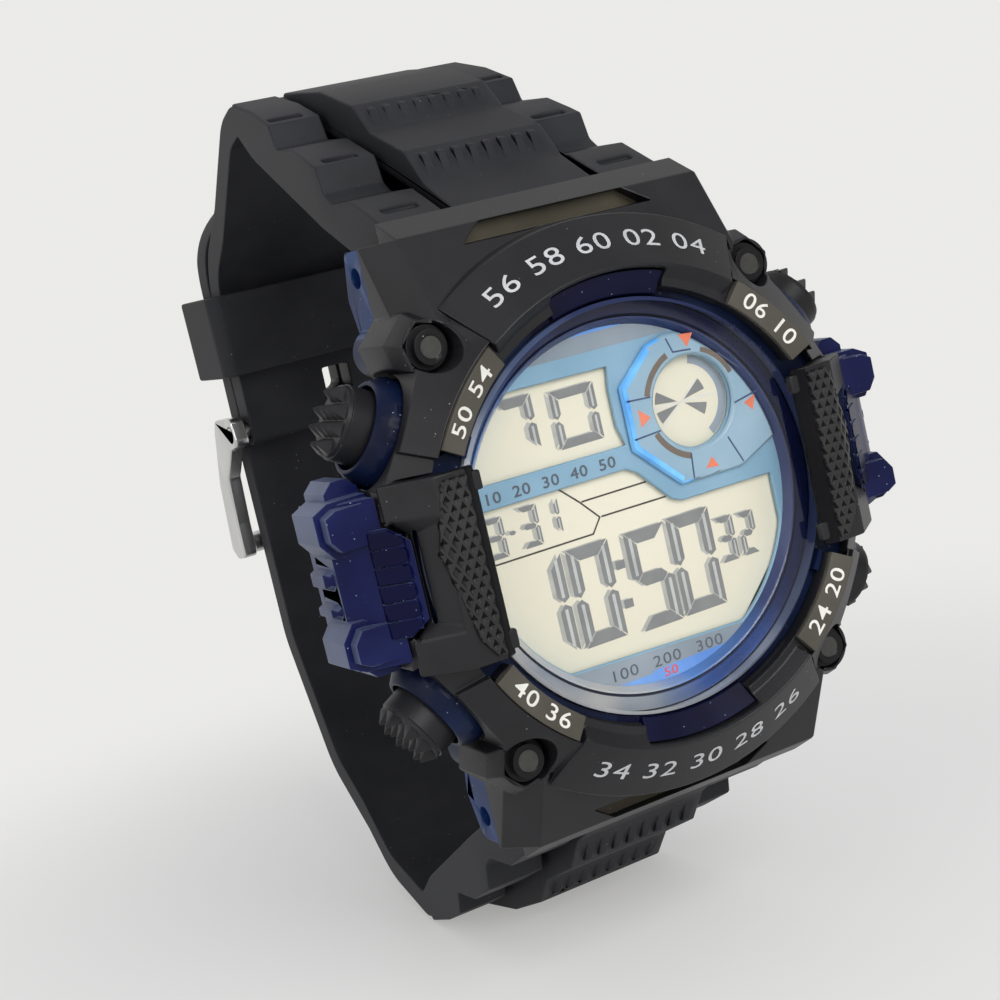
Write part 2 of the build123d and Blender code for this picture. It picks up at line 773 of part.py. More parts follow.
# Bumpers: ribbed insert in the guard's window and a castellated bar outside it
bumpers = {}
for side, sx in (("right", 1), ("left", -1)):
    with BuildPart() as bumper:
        insert_top = window_top - insert_gap
        insert_bottom = window_bottom + insert_gap
        insert_height = insert_top - insert_bottom
        insert_x = window_x + insert_gap
        slope = (bumper_shoulder_depth - insert_front_depth) / (bumper_shoulder_x - insert_x)
        with BuildSketch(Plane(origin=(0, -face_reach, insert_bottom), x_dir=(sx, 0, 0), z_dir=(0, 0, sx))):
            with BuildLine():
                Polyline(
                    (insert_x, insert_front_depth),
                    (bumper_shoulder_x, bumper_shoulder_depth),
                    (bumper_shoulder_x, insert_pocket_depth - seat_gap),
                    (insert_x, insert_pocket_depth - seat_gap),
                    close=True,
                )
            make_face()
        extrude(amount=sx * insert_height)
        for corner_z, inward in ((insert_top, -window_corner), (insert_bottom, window_corner)):
            with BuildSketch(face_plane(insert_front_depth)):
                with BuildLine():
                    Polyline(
                        (sx * insert_x, corner_z + inward),
                        (sx * insert_x, corner_z),
                        (sx * (insert_x + window_corner), corner_z),
                        close=True,
                    )
                make_face()
            extrude(amount=insert_pocket_depth, both=True, mode=Mode.SUBTRACT)
        # Bar with a sloping deep face, on a wider flange
        with BuildSketch(Plane(origin=(0, -face_reach, bumper_bottom), x_dir=(sx, 0, 0), z_dir=(0, 0, sx))):
            with BuildLine():
                Polyline(
                    (bumper_seat_x, guard_seat_depth + guard_strip_step),
                    (bumper_shoulder_x, bumper_shoulder_depth),
                    (bumper_face_x, bumper_face_depth),
                    (bumper_edge_x, bumper_edge_depth),
                    (bumper_edge_x, bumper_back_depth),
                    (bumper_seat_x, bumper_back_depth),
                    close=True,
                )
            make_face()
        extrude(amount=sx * (bumper_top - bumper_bottom))
        with BuildSketch(face_plane(bumper_back_depth)):
            with BuildLine():
                Polyline(
                    (sx * bumper_seat_x, flange_bottom),
                    (sx * (flange_x - flange_chamfer), flange_bottom),
                    (sx * flange_x, flange_bottom + flange_chamfer),
                    (sx * flange_x, flange_top - flange_chamfer),
                    (sx * (flange_x - flange_chamfer), flange_top),
                    (sx * (bumper_seat_x + flange_chamfer), flange_top),
                    (sx * bumper_seat_x, flange_top - flange_chamfer),
                    close=True,
                )
            make_face()
        extrude(amount=bumper_back_depth - flange_depth)
        # A stepped block at each end of the bar, its inner end cut on a slant
        for outer_z, inner_z in ((block_top, block_top_low), (block_bottom, block_bottom_high)):
            inward = -1 if outer_z > 0 else 1
            outline = [
                (sx * bumper_seat_x, inner_z),
                (sx * bumper_edge_x, inner_z),
                (sx * bumper_tip_x, inner_z - inward * block_end_fall),
                (sx * bumper_tip_x, outer_z + inward * block_end_fall / 2),
                (sx * (bumper_tip_x - block_end_fall), outer_z),
                (sx * bumper_seat_x, outer_z),
            ]
            for start_depth, end_depth, inset, taper in (
                (bumper_tooth_back, bumper_tip_depth, 0, 0),
                (bumper_tip_depth, block_slit_depth + block_slit, 0, block_lower_taper),
                (block_slit_depth + block_slit, block_slit_depth, block_slit_inset + block_slit_sink, 0),
                (block_slit_depth, block_face_depth, block_slit_inset, block_upper_taper),
            ):
                with BuildSketch(face_plane(start_depth)) as layer:
                    with BuildLine():
                        Polyline(*outline, close=True)
                    make_face()
                    if inset:
                        offset(amount=-inset, kind=Kind.INTERSECTION, mode=Mode.REPLACE)
                extrude(layer.sketch, amount=start_depth - end_depth, taper=taper)
        for low_z, high_z in bumper_tooth_ends:
            tooth_outline = [
                (sx * bumper_seat_x, low_z),
                (sx * bumper_edge_x, low_z),
                (sx * bumper_tooth_x, low_z + (bumper_tooth_x - bumper_edge_x) / 2),
                (sx * bumper_tooth_x, high_z - (bumper_tooth_x - bumper_edge_x) / 2),
                (sx * bumper_edge_x, high_z),
                (sx * bumper_seat_x, high_z),
            ]
            for start_depth, amount, taper in (
                (bumper_tooth_back, bumper_tooth_back - bumper_tooth_depth, 0),
                (bumper_tooth_depth, bumper_tooth_rise, bumper_tooth_taper),
            ):
                with BuildSketch(face_plane(start_depth)):
                    with BuildLine():
                        Polyline(*tooth_outline, close=True)
                    make_face()
                extrude(amount=amount, taper=taper)
        # Ribs across the insert
        rib_pitch = (insert_height - 2 * rib_margin) / rib_count
        for index in range(rib_count):
            rib_z = insert_bottom + rib_margin + (index + 0.5) * rib_pitch
            with BuildSketch(Plane(origin=(0, -face_reach, rib_z), x_dir=(sx, 0, 0), z_dir=(0, 0, sx))):
                with BuildLine():
                    rib_in = insert_x + rib_margin
                    rib_out = bumper_seat_x + guard_strip_step
                    rib_in_depth = insert_front_depth + (rib_in - insert_x) * slope
                    rib_out_depth = insert_front_depth + (rib_out - insert_x) * slope
                    Polyline(
                        (rib_in, rib_in_depth - rib_height),
                        (rib_out, rib_out_depth - rib_height),
                        (rib_out, rib_out_depth + rib_height),
                        (rib_in, rib_in_depth + rib_height),
                        close=True,
                    )
                make_face()
            extrude(amount=rib_fill_share * rib_pitch / 2, both=True)
    bumpers[side] = bumper

# Pushers: spiked head, stem through the seal and a clip on the stem's inner end
pushers = {}
clips = {}
for name, angle in zip(pusher_names, pusher_angles):
    with BuildPart() as pusher:
        with BuildSketch(pusher_plane(angle, pusher_base_reach)):
            Circle(pusher_radius)
        extrude(amount=pusher_face_reach - pusher_rim_step - pusher_base_reach)
        with BuildSketch(pusher_plane(angle, pusher_face_reach - pusher_rim_step)):
            Circle(pusher_rim_radius)
        extrude(amount=pusher_rim_step)
        with BuildSketch(pusher_plane(angle, pusher_face_reach)):
            with GridLocations(spike_pitch, spike_row_pitch, 4, 2):
                Rectangle(spike_size, spike_row_size)
            with GridLocations(spike_pitch, 3 * spike_row_pitch, 2, 2):
                Rectangle(spike_size, spike_row_size)
        extrude(amount=spike_height, taper=spike_taper)
        with BuildSketch(pusher_plane(angle, stem_end_reach)):
            Circle(stem_radius)
        extrude(amount=pusher_base_reach - stem_end_reach)
        with BuildSketch(pusher_plane(angle, clip_reach - seat_gap)):
            Circle(stem_radius)
            Circle(stem_radius * 2 / 3, mode=Mode.SUBTRACT)
        extrude(amount=clip_thickness + 2 * seat_gap, mode=Mode.SUBTRACT)
    pushers[name] = pusher
    with BuildPart() as clip:
        with BuildSketch(pusher_plane(angle, clip_reach)):
            Circle(clip_outer_radius)
            Circle(stem_radius * 2 / 3 + seat_gap / 2, mode=Mode.SUBTRACT)
            with Locations((clip_outer_radius, 0)):
                Rectangle(2 * clip_outer_radius, stem_radius, mode=Mode.SUBTRACT)
        extrude(amount=clip_thickness)
    clips[name] = clip

with BuildPart() as pusher_seals:
    for angle in pusher_angles:
        with BuildSketch(pusher_plane(angle, seal_pocket_reach + seat_gap)):
            Circle(seal_pocket_radius - seat_gap)
            Circle(stem_radius + running_gap, mode=Mode.SUBTRACT)
        extrude(amount=seal_height)

# Return springs, drawn at the length that they have when a pusher is pressed home
spring_start = seal_pocket_reach + seat_gap + seal_height + seat_gap + spring_wire_radius
spring_room = pusher_base_reach - pusher_travel - spring_start - 2 * spring_wire_radius
with BuildPart() as pusher_springs:
    for angle in pusher_angles:
        coil_plane = pusher_plane(angle, spring_start)
        with BuildLine():
            coil = Helix(
                spring_pitch, spring_room, spring_mean_radius, center=coil_plane.origin, direction=coil_plane.z_dir
            )
        with BuildSketch(Plane(origin=coil @ 0, z_dir=coil % 0)):
            RegularPolygon(spring_wire_radius, 4)
        sweep(is_frenet=True)

# Dial plate with its three windows and the raised octagon round the small one
with BuildPart() as dial_plate:
    with BuildSketch(face_plane(dial_back_depth)):
        Circle(dial_radius)
        with BuildSketch(mode=Mode.SUBTRACT):
            with BuildLine():
                Polyline(
                    (-window_half_width, upper_window_low),
                    (upper_window_right, upper_window_low),
                    (upper_window_right, upper_window_high),
                    (-window_half_width, upper_window_high),
                    close=True,
                )
            make_face()
            Circle(dial_opening_radius - moulding_gap, mode=Mode.INTERSECT)
        with BuildSketch(mode=Mode.SUBTRACT):
            with BuildLine():
                Polyline(
                    (-window_half_width, lower_window_low),
                    (window_half_width, lower_window_low),
                    (window_half_width, lower_window_high),
                    (-window_half_width, lower_window_high),
                    close=True,
                )
            make_face()
            Circle(dial_opening_radius - moulding_gap, mode=Mode.INTERSECT)
            with Locations((sub_window_x, sub_window_z)):
                RegularPolygon(octagon_radius + groove_width, 8, rotation=22.5, mode=Mode.SUBTRACT)
        with Locations((sub_window_x, sub_window_z)):
            Circle(sub_window_radius, mode=Mode.SUBTRACT)
    extrude(amount=dial_thickness)
    with BuildSketch(face_plane(dial_ledge_depth)):
        with Locations((sub_window_x, sub_window_z)):
            RegularPolygon(octagon_radius, 8, rotation=22.5)
            RegularPolygon(octagon_inner_radius, 8, rotation=22.5, mode=Mode.SUBTRACT)
        Circle(dial_opening_radius - 2 * moulding_gap, mode=Mode.INTERSECT)
    extrude(amount=octagon_height)

# Display: liquid crystal panel with clipped corners and the light panel behind it
with BuildPart() as lcd_panel:
    with BuildSketch(face_plane(lcd_back_depth)):
        Rectangle(2 * lcd_half_width, 2 * lcd_half_height)
        chamfer(vertices(), length=lcd_corner)
    extrude(amount=lcd_thickness)

with BuildPart() as backlight_panel:
    with BuildSketch(face_plane(backlight_back_depth)):
        Rectangle(2 * lcd_half_width - 2 * connector_width, 2 * (lcd_half_height - 2 * connector_width))
        chamfer(vertices(), length=lcd_corner - connector_width)
    extrude(amount=backlight_thickness)

# Module frame: ring with a pocket for the display and slots for connectors and pusher stems
with BuildPart() as module_frame:
    with BuildSketch(face_plane(frame_back_depth)):
        Circle(frame_radius)
    extrude(amount=frame_back_depth - lcd_front_depth)
    with BuildSketch(face_plane(backlight_back_depth + seat_gap)):
        Rectangle(2 * (lcd_half_width + seat_gap), 2 * (lcd_half_height + seat_gap))
        chamfer(vertices(), length=lcd_corner)
    extrude(amount=backlight_back_depth, mode=Mode.SUBTRACT)
    with BuildSketch(face_plane(frame_back_depth)):
        for sz in (1, -1):
            with Locations((0, sz * (lcd_half_height - connector_width))):
                Rectangle(connector_length + moulding_gap, connector_width + moulding_gap)
    extrude(amount=frame_back_depth, mode=Mode.SUBTRACT)
    for angle in pusher_angles:
        with BuildSketch(pusher_plane(angle, frame_notch_reach)):
            with Locations(((frame_back_depth - pusher_depth) / 2, 0)):
                Rectangle(2 * clip_outer_radius + frame_back_depth - pusher_depth, 2 * clip_outer_radius + 1)
        extrude(amount=frame_radius, mode=Mode.SUBTRACT)

with BuildPart() as zebra_connectors:
    with BuildSketch(face_plane(frame_back_depth)):
        for sz in (1, -1):
            with Locations((0, sz * (lcd_half_height - connector_width))):
                Rectangle(connector_length, connector_width)
    extrude(amount=frame_back_depth - lcd_back_depth - seat_gap)

with BuildPart() as circuit_board:
    with BuildSketch(face_plane(board_back_depth)):
        Circle(board_radius)
        Rectangle(2 * board_radius, 2 * board_flat, mode=Mode.INTERSECT)
    extrude(amount=board_thickness)

with BuildPart() as switch_contacts:
    for angle in pusher_angles:
        with BuildSketch(pusher_plane(angle, contact_reach)):
            with Locations(((frame_back_depth - pusher_depth - contact_height / 2), 0)):
                Rectangle(contact_height, contact_width)
        extrude(amount=contact_thickness)

with BuildPart() as battery:
    with BuildSketch(face_plane(battery_back_depth)):
        Circle(battery_radius)
    extrude(amount=battery_thickness)
    chamfer(battery.faces().sort_by(Axis.Y)[0].edges(), length=battery_rim)

with BuildPart() as battery_clip:
    with BuildSketch(face_plane(battery_back_depth + seat_gap + clip_plate_thickness)):
        SlotOverall(2 * clip_plate_half_length, 2 * clip_plate_half_width)
        with Locations((-clip_plate_half_length / 2, 0), (clip_plate_half_length / 2, 0)):
            Circle(clip_plate_half_width / 3, mode=Mode.SUBTRACT)
    extrude(amount=clip_plate_thickness)
    for sx in (1, -1):
        with BuildSketch(face_plane(battery_back_depth + seat_gap + clip_plate_thickness)):
            with Locations((sx * (clip_plate_half_length - clip_plate_half_width / 3), 0)):
                Rectangle(clip_plate_half_width / 3, clip_plate_half_width)
        extrude(amount=battery_back_depth + seat_gap + clip_plate_thickness - board_back_depth - seat_gap)

# Case back: stepped steel plate with its gasket, four screws and the buzzer disc inside
with BuildPart() as case_back:
    with BuildSketch(face_plane(back_rear_depth - back_step)):
        RectangleRounded(2 * back_half_width, 2 * back_half_width, back_corner_radius)
    extrude(amount=back_thickness - back_step)
    with BuildSketch(face_plane(back_rear_depth)):
        Circle(back_plate_radius)
    extrude(amount=back_step)
    with BuildSketch(face_plane(back_rear_depth)):
        with Locations(*[(sx * back_screw_offset, sz * back_screw_offset) for sx, sz in corner_signs]):
            Circle(back_screw_head_radius + seat_gap)
    extrude(amount=back_screw_head_sink, mode=Mode.SUBTRACT)
    with BuildSketch(face_plane(back_rear_depth)):
        with Locations(*[(sx * back_screw_offset, sz * back_screw_offset) for sx, sz in corner_signs]):
            Circle(back_screw_radius + seat_gap)
    extrude(amount=back_thickness, mode=Mode.SUBTRACT)
    chamfer(case_back.faces().sort_by(Axis.Y)[-1].edges(), length=back_step / 2)

with BuildPart() as case_back_gasket:
    with BuildSketch(face_plane(body_back_depth)):
        Circle(groove_outer_radius - seat_gap)
        Circle(groove_inner_radius + seat_gap, mode=Mode.SUBTRACT)
    extrude(amount=groove_depth - seat_gap)

with BuildPart() as case_back_screws:
    head_floor = back_rear_depth - back_screw_head_sink + seat_gap
    head_height = back_screw_head_sink - back_step
    with BuildSketch(face_plane(head_floor + head_height)):
        with Locations(*[(sx * back_screw_offset, sz * back_screw_offset) for sx, sz in corner_signs]):
            Circle(back_screw_head_radius)
    extrude(amount=head_height)
    with BuildSketch(face_plane(head_floor)):
        with Locations(*[(sx * back_screw_offset, sz * back_screw_offset) for sx, sz in corner_signs]):
            Circle(back_screw_radius)
    extrude(amount=back_screw_length - back_screw_head_sink)
    with BuildSketch(face_plane(head_floor + head_height)):
        with Locations(*[(sx * back_screw_offset, sz * back_screw_offset) for sx, sz in corner_signs]):
            Rectangle(2 * back_screw_head_radius / 3 * 2, back_screw_radius / 2)
            Rectangle(back_screw_radius / 2, 2 * back_screw_head_radius / 3 * 2)
    extrude(amount=head_height / 2, mode=Mode.SUBTRACT)

with BuildPart() as buzzer:
    with BuildSketch(face_plane(body_back_depth)):
        Circle(buzzer_radius)
    extrude(amount=buzzer_thickness)
    with BuildSketch(face_plane(body_back_depth - buzzer_thickness)):
        Circle(buzzer_radius * 2 / 3)
    extrude(amount=buzzer_thickness / 2)

# Spring bars: a body between the lugs with a thinner tip in each lug
with BuildPart() as spring_bars:
    for sz in (1, -1):
        with BuildSketch(side_plane(-lug_inner_half - bar_tip_length)):
            with Locations((bar_depth, sz * bar_height)):
                Circle(bar_radius)
        extrude(amount=2 * (lug_inner_half + bar_tip_length))


def band_face(top_points, radii, thickness):
    """Side view of a curved band: outer line, and an inner line at one thickness from it."""
    inner = offset_path(top_points, thickness)
    outer_radii = [0] + list(radii) + [end_radius]
    inner_radii = [end_radius]
    for index in range(len(radii), 0, -1):
        before, here, after = top_points[index - 1], top_points[index], top_points[index + 1]
        turn = (here[0] - before[0]) * (after[1] - here[1]) - (here[1] - before[1]) * (after[0] - here[0])
        inner_radii.append(radii[index - 1] - thickness if turn < 0 else radii[index - 1] + thickness)
    inner_radii.append(0)
    return top_points + inner[::-1], outer_radii + inner_radii


def add_side_view(points, inner_x, outer_x, radii=None, mode=Mode.ADD):
    """Extrude a side view between two distances from the middle plane, on both sides."""
    for sx in (1, -1):
        with BuildSketch(side_plane(sx * inner_x)) as view:
            with BuildLine():
                if radii:
                    FilletPolyline(*points, radius=radii, close=True)
                else:
                    Polyline(*points, close=True)
            make_face()
        extrude(view.sketch, amount=sx * (outer_x - inner_x), mode=mode)


def add_links(sign, top_points):
    """End block, stepped side links and toothed centre plate of one strap half."""
    turned = (lambda points: points) if sign > 0 else flip
    middle = offset_path(top_points[:4], band_thickness / 2)[2::-1]
    block = [
        (strap_front_depth, strap_end_low),
        (strap_front_depth, link_start_height),
        (strap_end_back, link_start_height),
        (strap_end_back, strap_end_low),
    ]
    add_side_view(turned(block), 0, strap_front_half, (end_radius / 2, end_radius / 2, end_radius / 2, end_radius))
    start = [(strap_front_depth, link_start_height)]
    links = start + [loop_point(share) for share in link_top_shares] + middle
    add_side_view(turned(links), plate_half_width + groove_width, strap_front_half)
    plate = start + [loop_point(share) for share in plate_top_shares] + middle
    add_side_view(turned(plate), 0, plate_half_width)
    for low_d, low_z, high_d, high_z in tooth_rows_shares:
        low = loop_point((low_d, low_z))
        high = loop_point((high_d, high_z))
        tip = (high[0] - tooth_height, high[1] - tooth_height / 4)
        for index in range(tooth_count):
            tooth_x = (index - (tooth_count - 1) / 2) * tooth_pitch
            with BuildSketch(side_plane(tooth_x)) as tooth:
                with BuildLine():
                    Polyline(*turned([low, high, tip]), close=True)
                make_face()
            extrude(tooth.sketch, amount=tooth_width / 2, both=True)
    for share in slot_places_shares:
        place = loop_point(share)
        middle_x = (plate_half_width + groove_width + strap_front_half) / 2
        for sx in (1, -1):
            with BuildSketch(side_plane(sx * (plate_half_width + groove_width + slot_inset))) as slot:
                with Locations(turned([place])[0]):
                    Rectangle(slot_width, 2 * slot_sink, rotation=sign * slot_lean)
            slot_length = 2 * (middle_x - plate_half_width - groove_width - slot_inset)
            extrude(slot.sketch, amount=sx * slot_length, mode=Mode.SUBTRACT)
    with BuildSketch(side_plane(-strap_front_half)) as bore:
        with Locations(turned([(bar_depth, bar_height)])[0]):
            Circle(bar_bore_radius)
    extrude(bore.sketch, amount=2 * strap_front_half, mode=Mode.SUBTRACT)


def trim_to_plan():
    """Cut a strap half to its plan: wide at the case, narrower at the buckle."""
    with BuildSketch(Plane.XY) as plan:
        with BuildLine():
            Polyline(
                (-strap_front_half, 0 - face_reach),
                (strap_front_half, 0 - face_reach),
                (strap_front_half, taper_start_depth - face_reach),
                (strap_rear_half, taper_end_depth - face_reach),
                (strap_rear_half, loop_depth + cut_overrun - face_reach),
                (-strap_rear_half, loop_depth + cut_overrun - face_reach),
                (-strap_rear_half, taper_end_depth - face_reach),
                (-strap_front_half, taper_start_depth - face_reach),
                close=True,
            )
        make_face()
    extrude(plan.sketch, amount=loop_half_height + cut_overrun, both=True, mode=Mode.INTERSECT)


# Upper strap half: it ends at the buckle pin, with a notch for the tongue's eye
upper_top = [(strap_front_depth, band_foot_height)]
upper_top += [loop_point(share) for share in band_top_shares]
upper_top += [(pin_depth + band_thickness / 2, pin_height), (pin_depth + band_thickness / 2, band_end_height)]
upper_outline, upper_radii = band_face(
    upper_top, (bend_radius, crest_radius, bend_radius, bend_radius, bend_radius), band_thickness
)
with BuildPart() as strap_upper:
    add_side_view(upper_outline, 0, strap_front_half, upper_radii)
    add_links(1, upper_top)
    trim_to_plan()
    with BuildSketch(side_plane(-strap_rear_half)):
        with Locations((pin_depth, pin_height)):
            Circle(pin_radius + seat_gap)
    extrude(amount=2 * strap_rear_half, mode=Mode.SUBTRACT)
    with BuildSketch(face_plane(loop_depth)):
        with Locations((0, (pin_height + tongue_eye_radius + seat_gap))):
            Rectangle(2 * tongue_notch_half, 2 * (pin_height - band_end_height + tongue_eye_radius))
    extrude(amount=loop_depth / 3, mode=Mode.SUBTRACT)

# Lower strap half: its long tail passes outside the other half and carries the tongue's slots
lower_top = [(strap_front_depth, band_foot_height)]
lower_top += [loop_point(share) for share in lower_top_shares]
lower_outline, lower_radii = band_face(
    lower_top, (bend_radius, crest_radius) + (bend_radius,) * (len(lower_top_shares) - 3), tail_thickness
)
with BuildPart() as strap_lower:
    add_side_view(flip(lower_outline), 0, strap_front_half, lower_radii)
    add_links(-1, lower_top)
    trim_to_plan()
    with BuildSketch(face_plane(loop_depth + cut_overrun)):
        with Locations(*[(0, pin_height + offset * hole_pitch - hole_shift) for offset in hole_offsets]):
            RectangleRounded(hole_width, hole_length, hole_width / 3)
    extrude(amount=3 * tail_thickness, mode=Mode.SUBTRACT)
    with BuildSketch(face_plane(loop_depth + cut_overrun)):
        with Locations((0, tail_tip_height)):
            Rectangle(2 * strap_front_half, 2 * tail_tip_radius)
        with Locations((0, tail_tip_height - 2 * tail_tip_radius)):
            RectangleRounded(
                2 * strap_rear_half, 4 * tail_tip_radius, tail_tip_radius, mode=Mode.SUBTRACT
            )
    extrude(amount=loop_depth / 3, mode=Mode.SUBTRACT)

# Buckle pin, across the end of the upper strap half and into the frame's rails
with BuildPart() as buckle_pin:
    with BuildSketch(side_plane(-rail_inner_half - rail_thickness)):
        with Locations((pin_depth, pin_height)):
            Circle(pin_radius)
    extrude(amount=2 * (rail_inner_half + rail_thickness))

# Buckle frame: two bent side rails joined by a round crossbar
pin_to_bar = (crossbar_depth - pin_depth, pin_height - crossbar_height)
rail_points = [
    (pin_depth + share[0] * pin_to_bar[0], pin_height + share[1] * pin_to_bar[1])
    for share in rail_outline_shares
]
with BuildPart() as buckle_frame:
    add_side_view(
        rail_points, rail_inner_half, rail_inner_half + rail_thickness, (rail_corner_radius,) * len(rail_points)
    )
    with BuildSketch(side_plane(-rail_inner_half - seat_gap)):
        with Locations((crossbar_depth, crossbar_height)):
            Circle(crossbar_radius)
    extrude(amount=2 * (rail_inner_half + seat_gap))
    with BuildSketch(side_plane(-rail_inner_half - rail_thickness)):
        with Locations((pin_depth, pin_height)):
            Circle(pin_bore_radius)
    extrude(amount=2 * (rail_inner_half + rail_thickness), mode=Mode.SUBTRACT)

# Buckle tongue: eye round the pin, and a bent blade through the slot and over the crossbar
rest_depth = crossbar_depth + crossbar_radius + 4 * seat_gap + tongue_thickness / 2
blade = [
    (pin_depth, pin_height),
    (tongue_bend_depth, tongue_bend_height),
    (rest_depth, crossbar_height),
    (rest_depth, tongue_tip_height),
]
blade_front = offset_path(blade, -tongue_thickness / 2)
blade_back = offset_path(blade, tongue_thickness / 2)
with BuildPart() as buckle_tongue:
    with BuildSketch(side_plane(0)):
        with BuildLine():
            Polyline(*(blade_front + blade_back[::-1]), close=True)
        make_face()
        with Locations((pin_depth, pin_height)):
            Circle(tongue_eye_radius)
            Circle(pin_bore_radius, mode=Mode.SUBTRACT)
    extrude(amount=tongue_width / 2, both=True)

# Strap keeper: a free rubber loop round both strap layers
keeper_front = pin_depth - band_thickness / 2 - keeper_gap - band_rise
keeper_back = loop_depth - keeper_gap
with BuildPart() as strap_keeper:
    with BuildSketch(Plane.XY.offset(keeper_centre - keeper_height / 2)):
        with Locations((0, (keeper_front + keeper_back) / 2 - face_reach)):
            RectangleRounded(
                2 * (strap_rear_half + keeper_gap + keeper_wall),
                keeper_back - keeper_front + 2 * keeper_wall,
                keeper_corner,
            )
            Rectangle(
                2 * (strap_rear_half + keeper_gap), keeper_back - keeper_front, mode=Mode.SUBTRACT
            )
    extrude(amount=keeper_height)

# Names and files: one file for each piece
pieces = {
    "case_body": case_body,
    "case_cover": case_cover,
    "cover_screws": cover_screws,
    "label_plates": label_plates,
    "guard_right": guards["right"],
    "guard_left": guards["left"],
    "bumper_right": bumpers["right"],
    "bumper_left": bumpers["left"],
    "crystal": crystal,
    "crystal_gasket": crystal_gasket,
    "dial_plate": dial_plate,
    "lcd_panel": lcd_panel,
    "backlight_panel": backlight_panel,
    "module_frame": module_frame,
    "zebra_connectors": zebra_connectors,
    "circuit_board": circuit_board,
    "switch_contacts": switch_contacts,
    "battery": battery,
    "battery_clip": battery_clip,
    "buzzer": buzzer,
    "case_back": case_back,
    "case_back_gasket": case_back_gasket,
    "case_back_screws": case_back_screws,
    "pusher_seals": pusher_seals,
    "pusher_springs": pusher_springs,
    "spring_bars": spring_bars,
    "strap_upper": strap_upper,
    "strap_lower": strap_lower,
    "buckle_pin": buckle_pin,
    "buckle_frame": buckle_frame,
    "buckle_tongue": buckle_tongue,
    "strap_keeper": strap_keeper,
}
for name in pusher_names:
    pieces["pusher_" + name] = pushers[name]
    pieces["pusher_clip_" + name] = clips[name]

os.makedirs("parts", exist_ok=True)
for name, piece in pieces.items():
    piece.part.label = name
    export_step(piece.part, "parts/" + name + ".step")
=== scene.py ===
from math import atan, cos, pi, radians, sin, sqrt

import bmesh
import bpy
from mathutils import Matrix, Vector


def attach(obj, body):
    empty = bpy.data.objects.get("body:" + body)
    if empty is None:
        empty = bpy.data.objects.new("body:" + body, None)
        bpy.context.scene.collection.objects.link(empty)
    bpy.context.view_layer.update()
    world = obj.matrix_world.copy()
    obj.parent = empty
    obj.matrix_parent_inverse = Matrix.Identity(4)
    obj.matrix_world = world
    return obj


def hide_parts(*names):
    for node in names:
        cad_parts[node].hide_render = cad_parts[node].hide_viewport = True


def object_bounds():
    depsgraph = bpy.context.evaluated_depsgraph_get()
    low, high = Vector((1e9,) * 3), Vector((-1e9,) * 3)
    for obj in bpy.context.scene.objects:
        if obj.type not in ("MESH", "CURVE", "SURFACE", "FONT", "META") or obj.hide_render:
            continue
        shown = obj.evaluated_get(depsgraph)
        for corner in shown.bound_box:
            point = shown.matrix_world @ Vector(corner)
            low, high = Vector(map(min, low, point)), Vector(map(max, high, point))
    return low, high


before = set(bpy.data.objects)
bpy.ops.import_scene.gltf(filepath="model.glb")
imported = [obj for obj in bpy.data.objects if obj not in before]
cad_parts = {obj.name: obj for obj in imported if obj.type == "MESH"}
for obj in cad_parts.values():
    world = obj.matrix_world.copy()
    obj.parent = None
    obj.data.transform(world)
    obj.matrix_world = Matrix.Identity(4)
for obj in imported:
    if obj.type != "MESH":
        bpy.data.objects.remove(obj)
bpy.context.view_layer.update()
bpy.ops.object.select_all(action="DESELECT")

# Places in millimetres: x to 3 o'clock, z to 12 o'clock, depth back from the label plates' front
MM = 0.001
FACE_REACH = 36.5
DIAL_DEPTH = 4.1
DISPLAY_DEPTH = 4.65
RING_DEPTH = 3.55

# Print: thickness, gaps between its back and what carries it, and widths
PRINT = 0.012
SHADOW_PRINT = 0.008
BAND_LIFT = 0.002
LIFT = 0.004
ROTOR_LIFT = 0.006
NUMBER_LIFT = 0.01
NUMBER_SPACING = 1.1
OVER_BAND_LIFT = 0.016
LOW_NUMBER_LIFT = 0.02
STREAK_LIFT = 0.03
RED_NUMBER_LIFT = 0.035
LINE_WIDTH = 0.14
ROTOR_LINE_WIDTH = 0.16
GLOW_WIDTH = 0.42

# Merging: reach of doubles in metres, flat joints in degrees, and the corners of a ring's wide faces
NODE_MERGE = 0.000002
PIECE_MERGE = 0.000001
CUT_MERGE = 0.0000001
FLAT_JOINT = 1.5
RING_CORNERS = 40

# Widths of rounded edges
COVER_EDGE = 0.14
CASE_EDGE = 0.12
LABEL_EDGE = 0.06
STRAP_EDGE = 0.2
KEEPER_EDGE = 0.25
BUCKLE_EDGE = 0.2
TONGUE_EDGE = 0.15
BAR_EDGE = 0.1
BACK_EDGE = 0.08
BACK_SCREW_EDGE = 0.05
GUARD_EDGE = 0.17
BUMPER_EDGE = 0.07
PUSHER_EDGE = 0.06
SCREW_EDGE = 0.07

# Crystal, dial and rings
CRYSTAL_RADIUS = 16.3
CRYSTAL_BACK = 3.17
CRYSTAL_EDGE = 1.5
CRYSTAL_CROWN = 1.0
CRYSTAL_BEVEL = 0.32
DIAL_RADIUS = 14.85
DIAL_THICKNESS = 0.45
DIAL_CHAMFER = 0.1
OCTAGON_CHAMFER = 0.25
WINDOW_REACH = 14.2
OCTAGON_REACH = 14.25
BAND_REACH = 14.28
LINER_OUTER = 14.86
LINER_MIDDLE = 14.72
LINER_INNER = 14.30
LATHE_STEPS = 120
HOLE_X = 7.2
HOLE_Z = 6.7
HOLE_RADIUS = 3.7

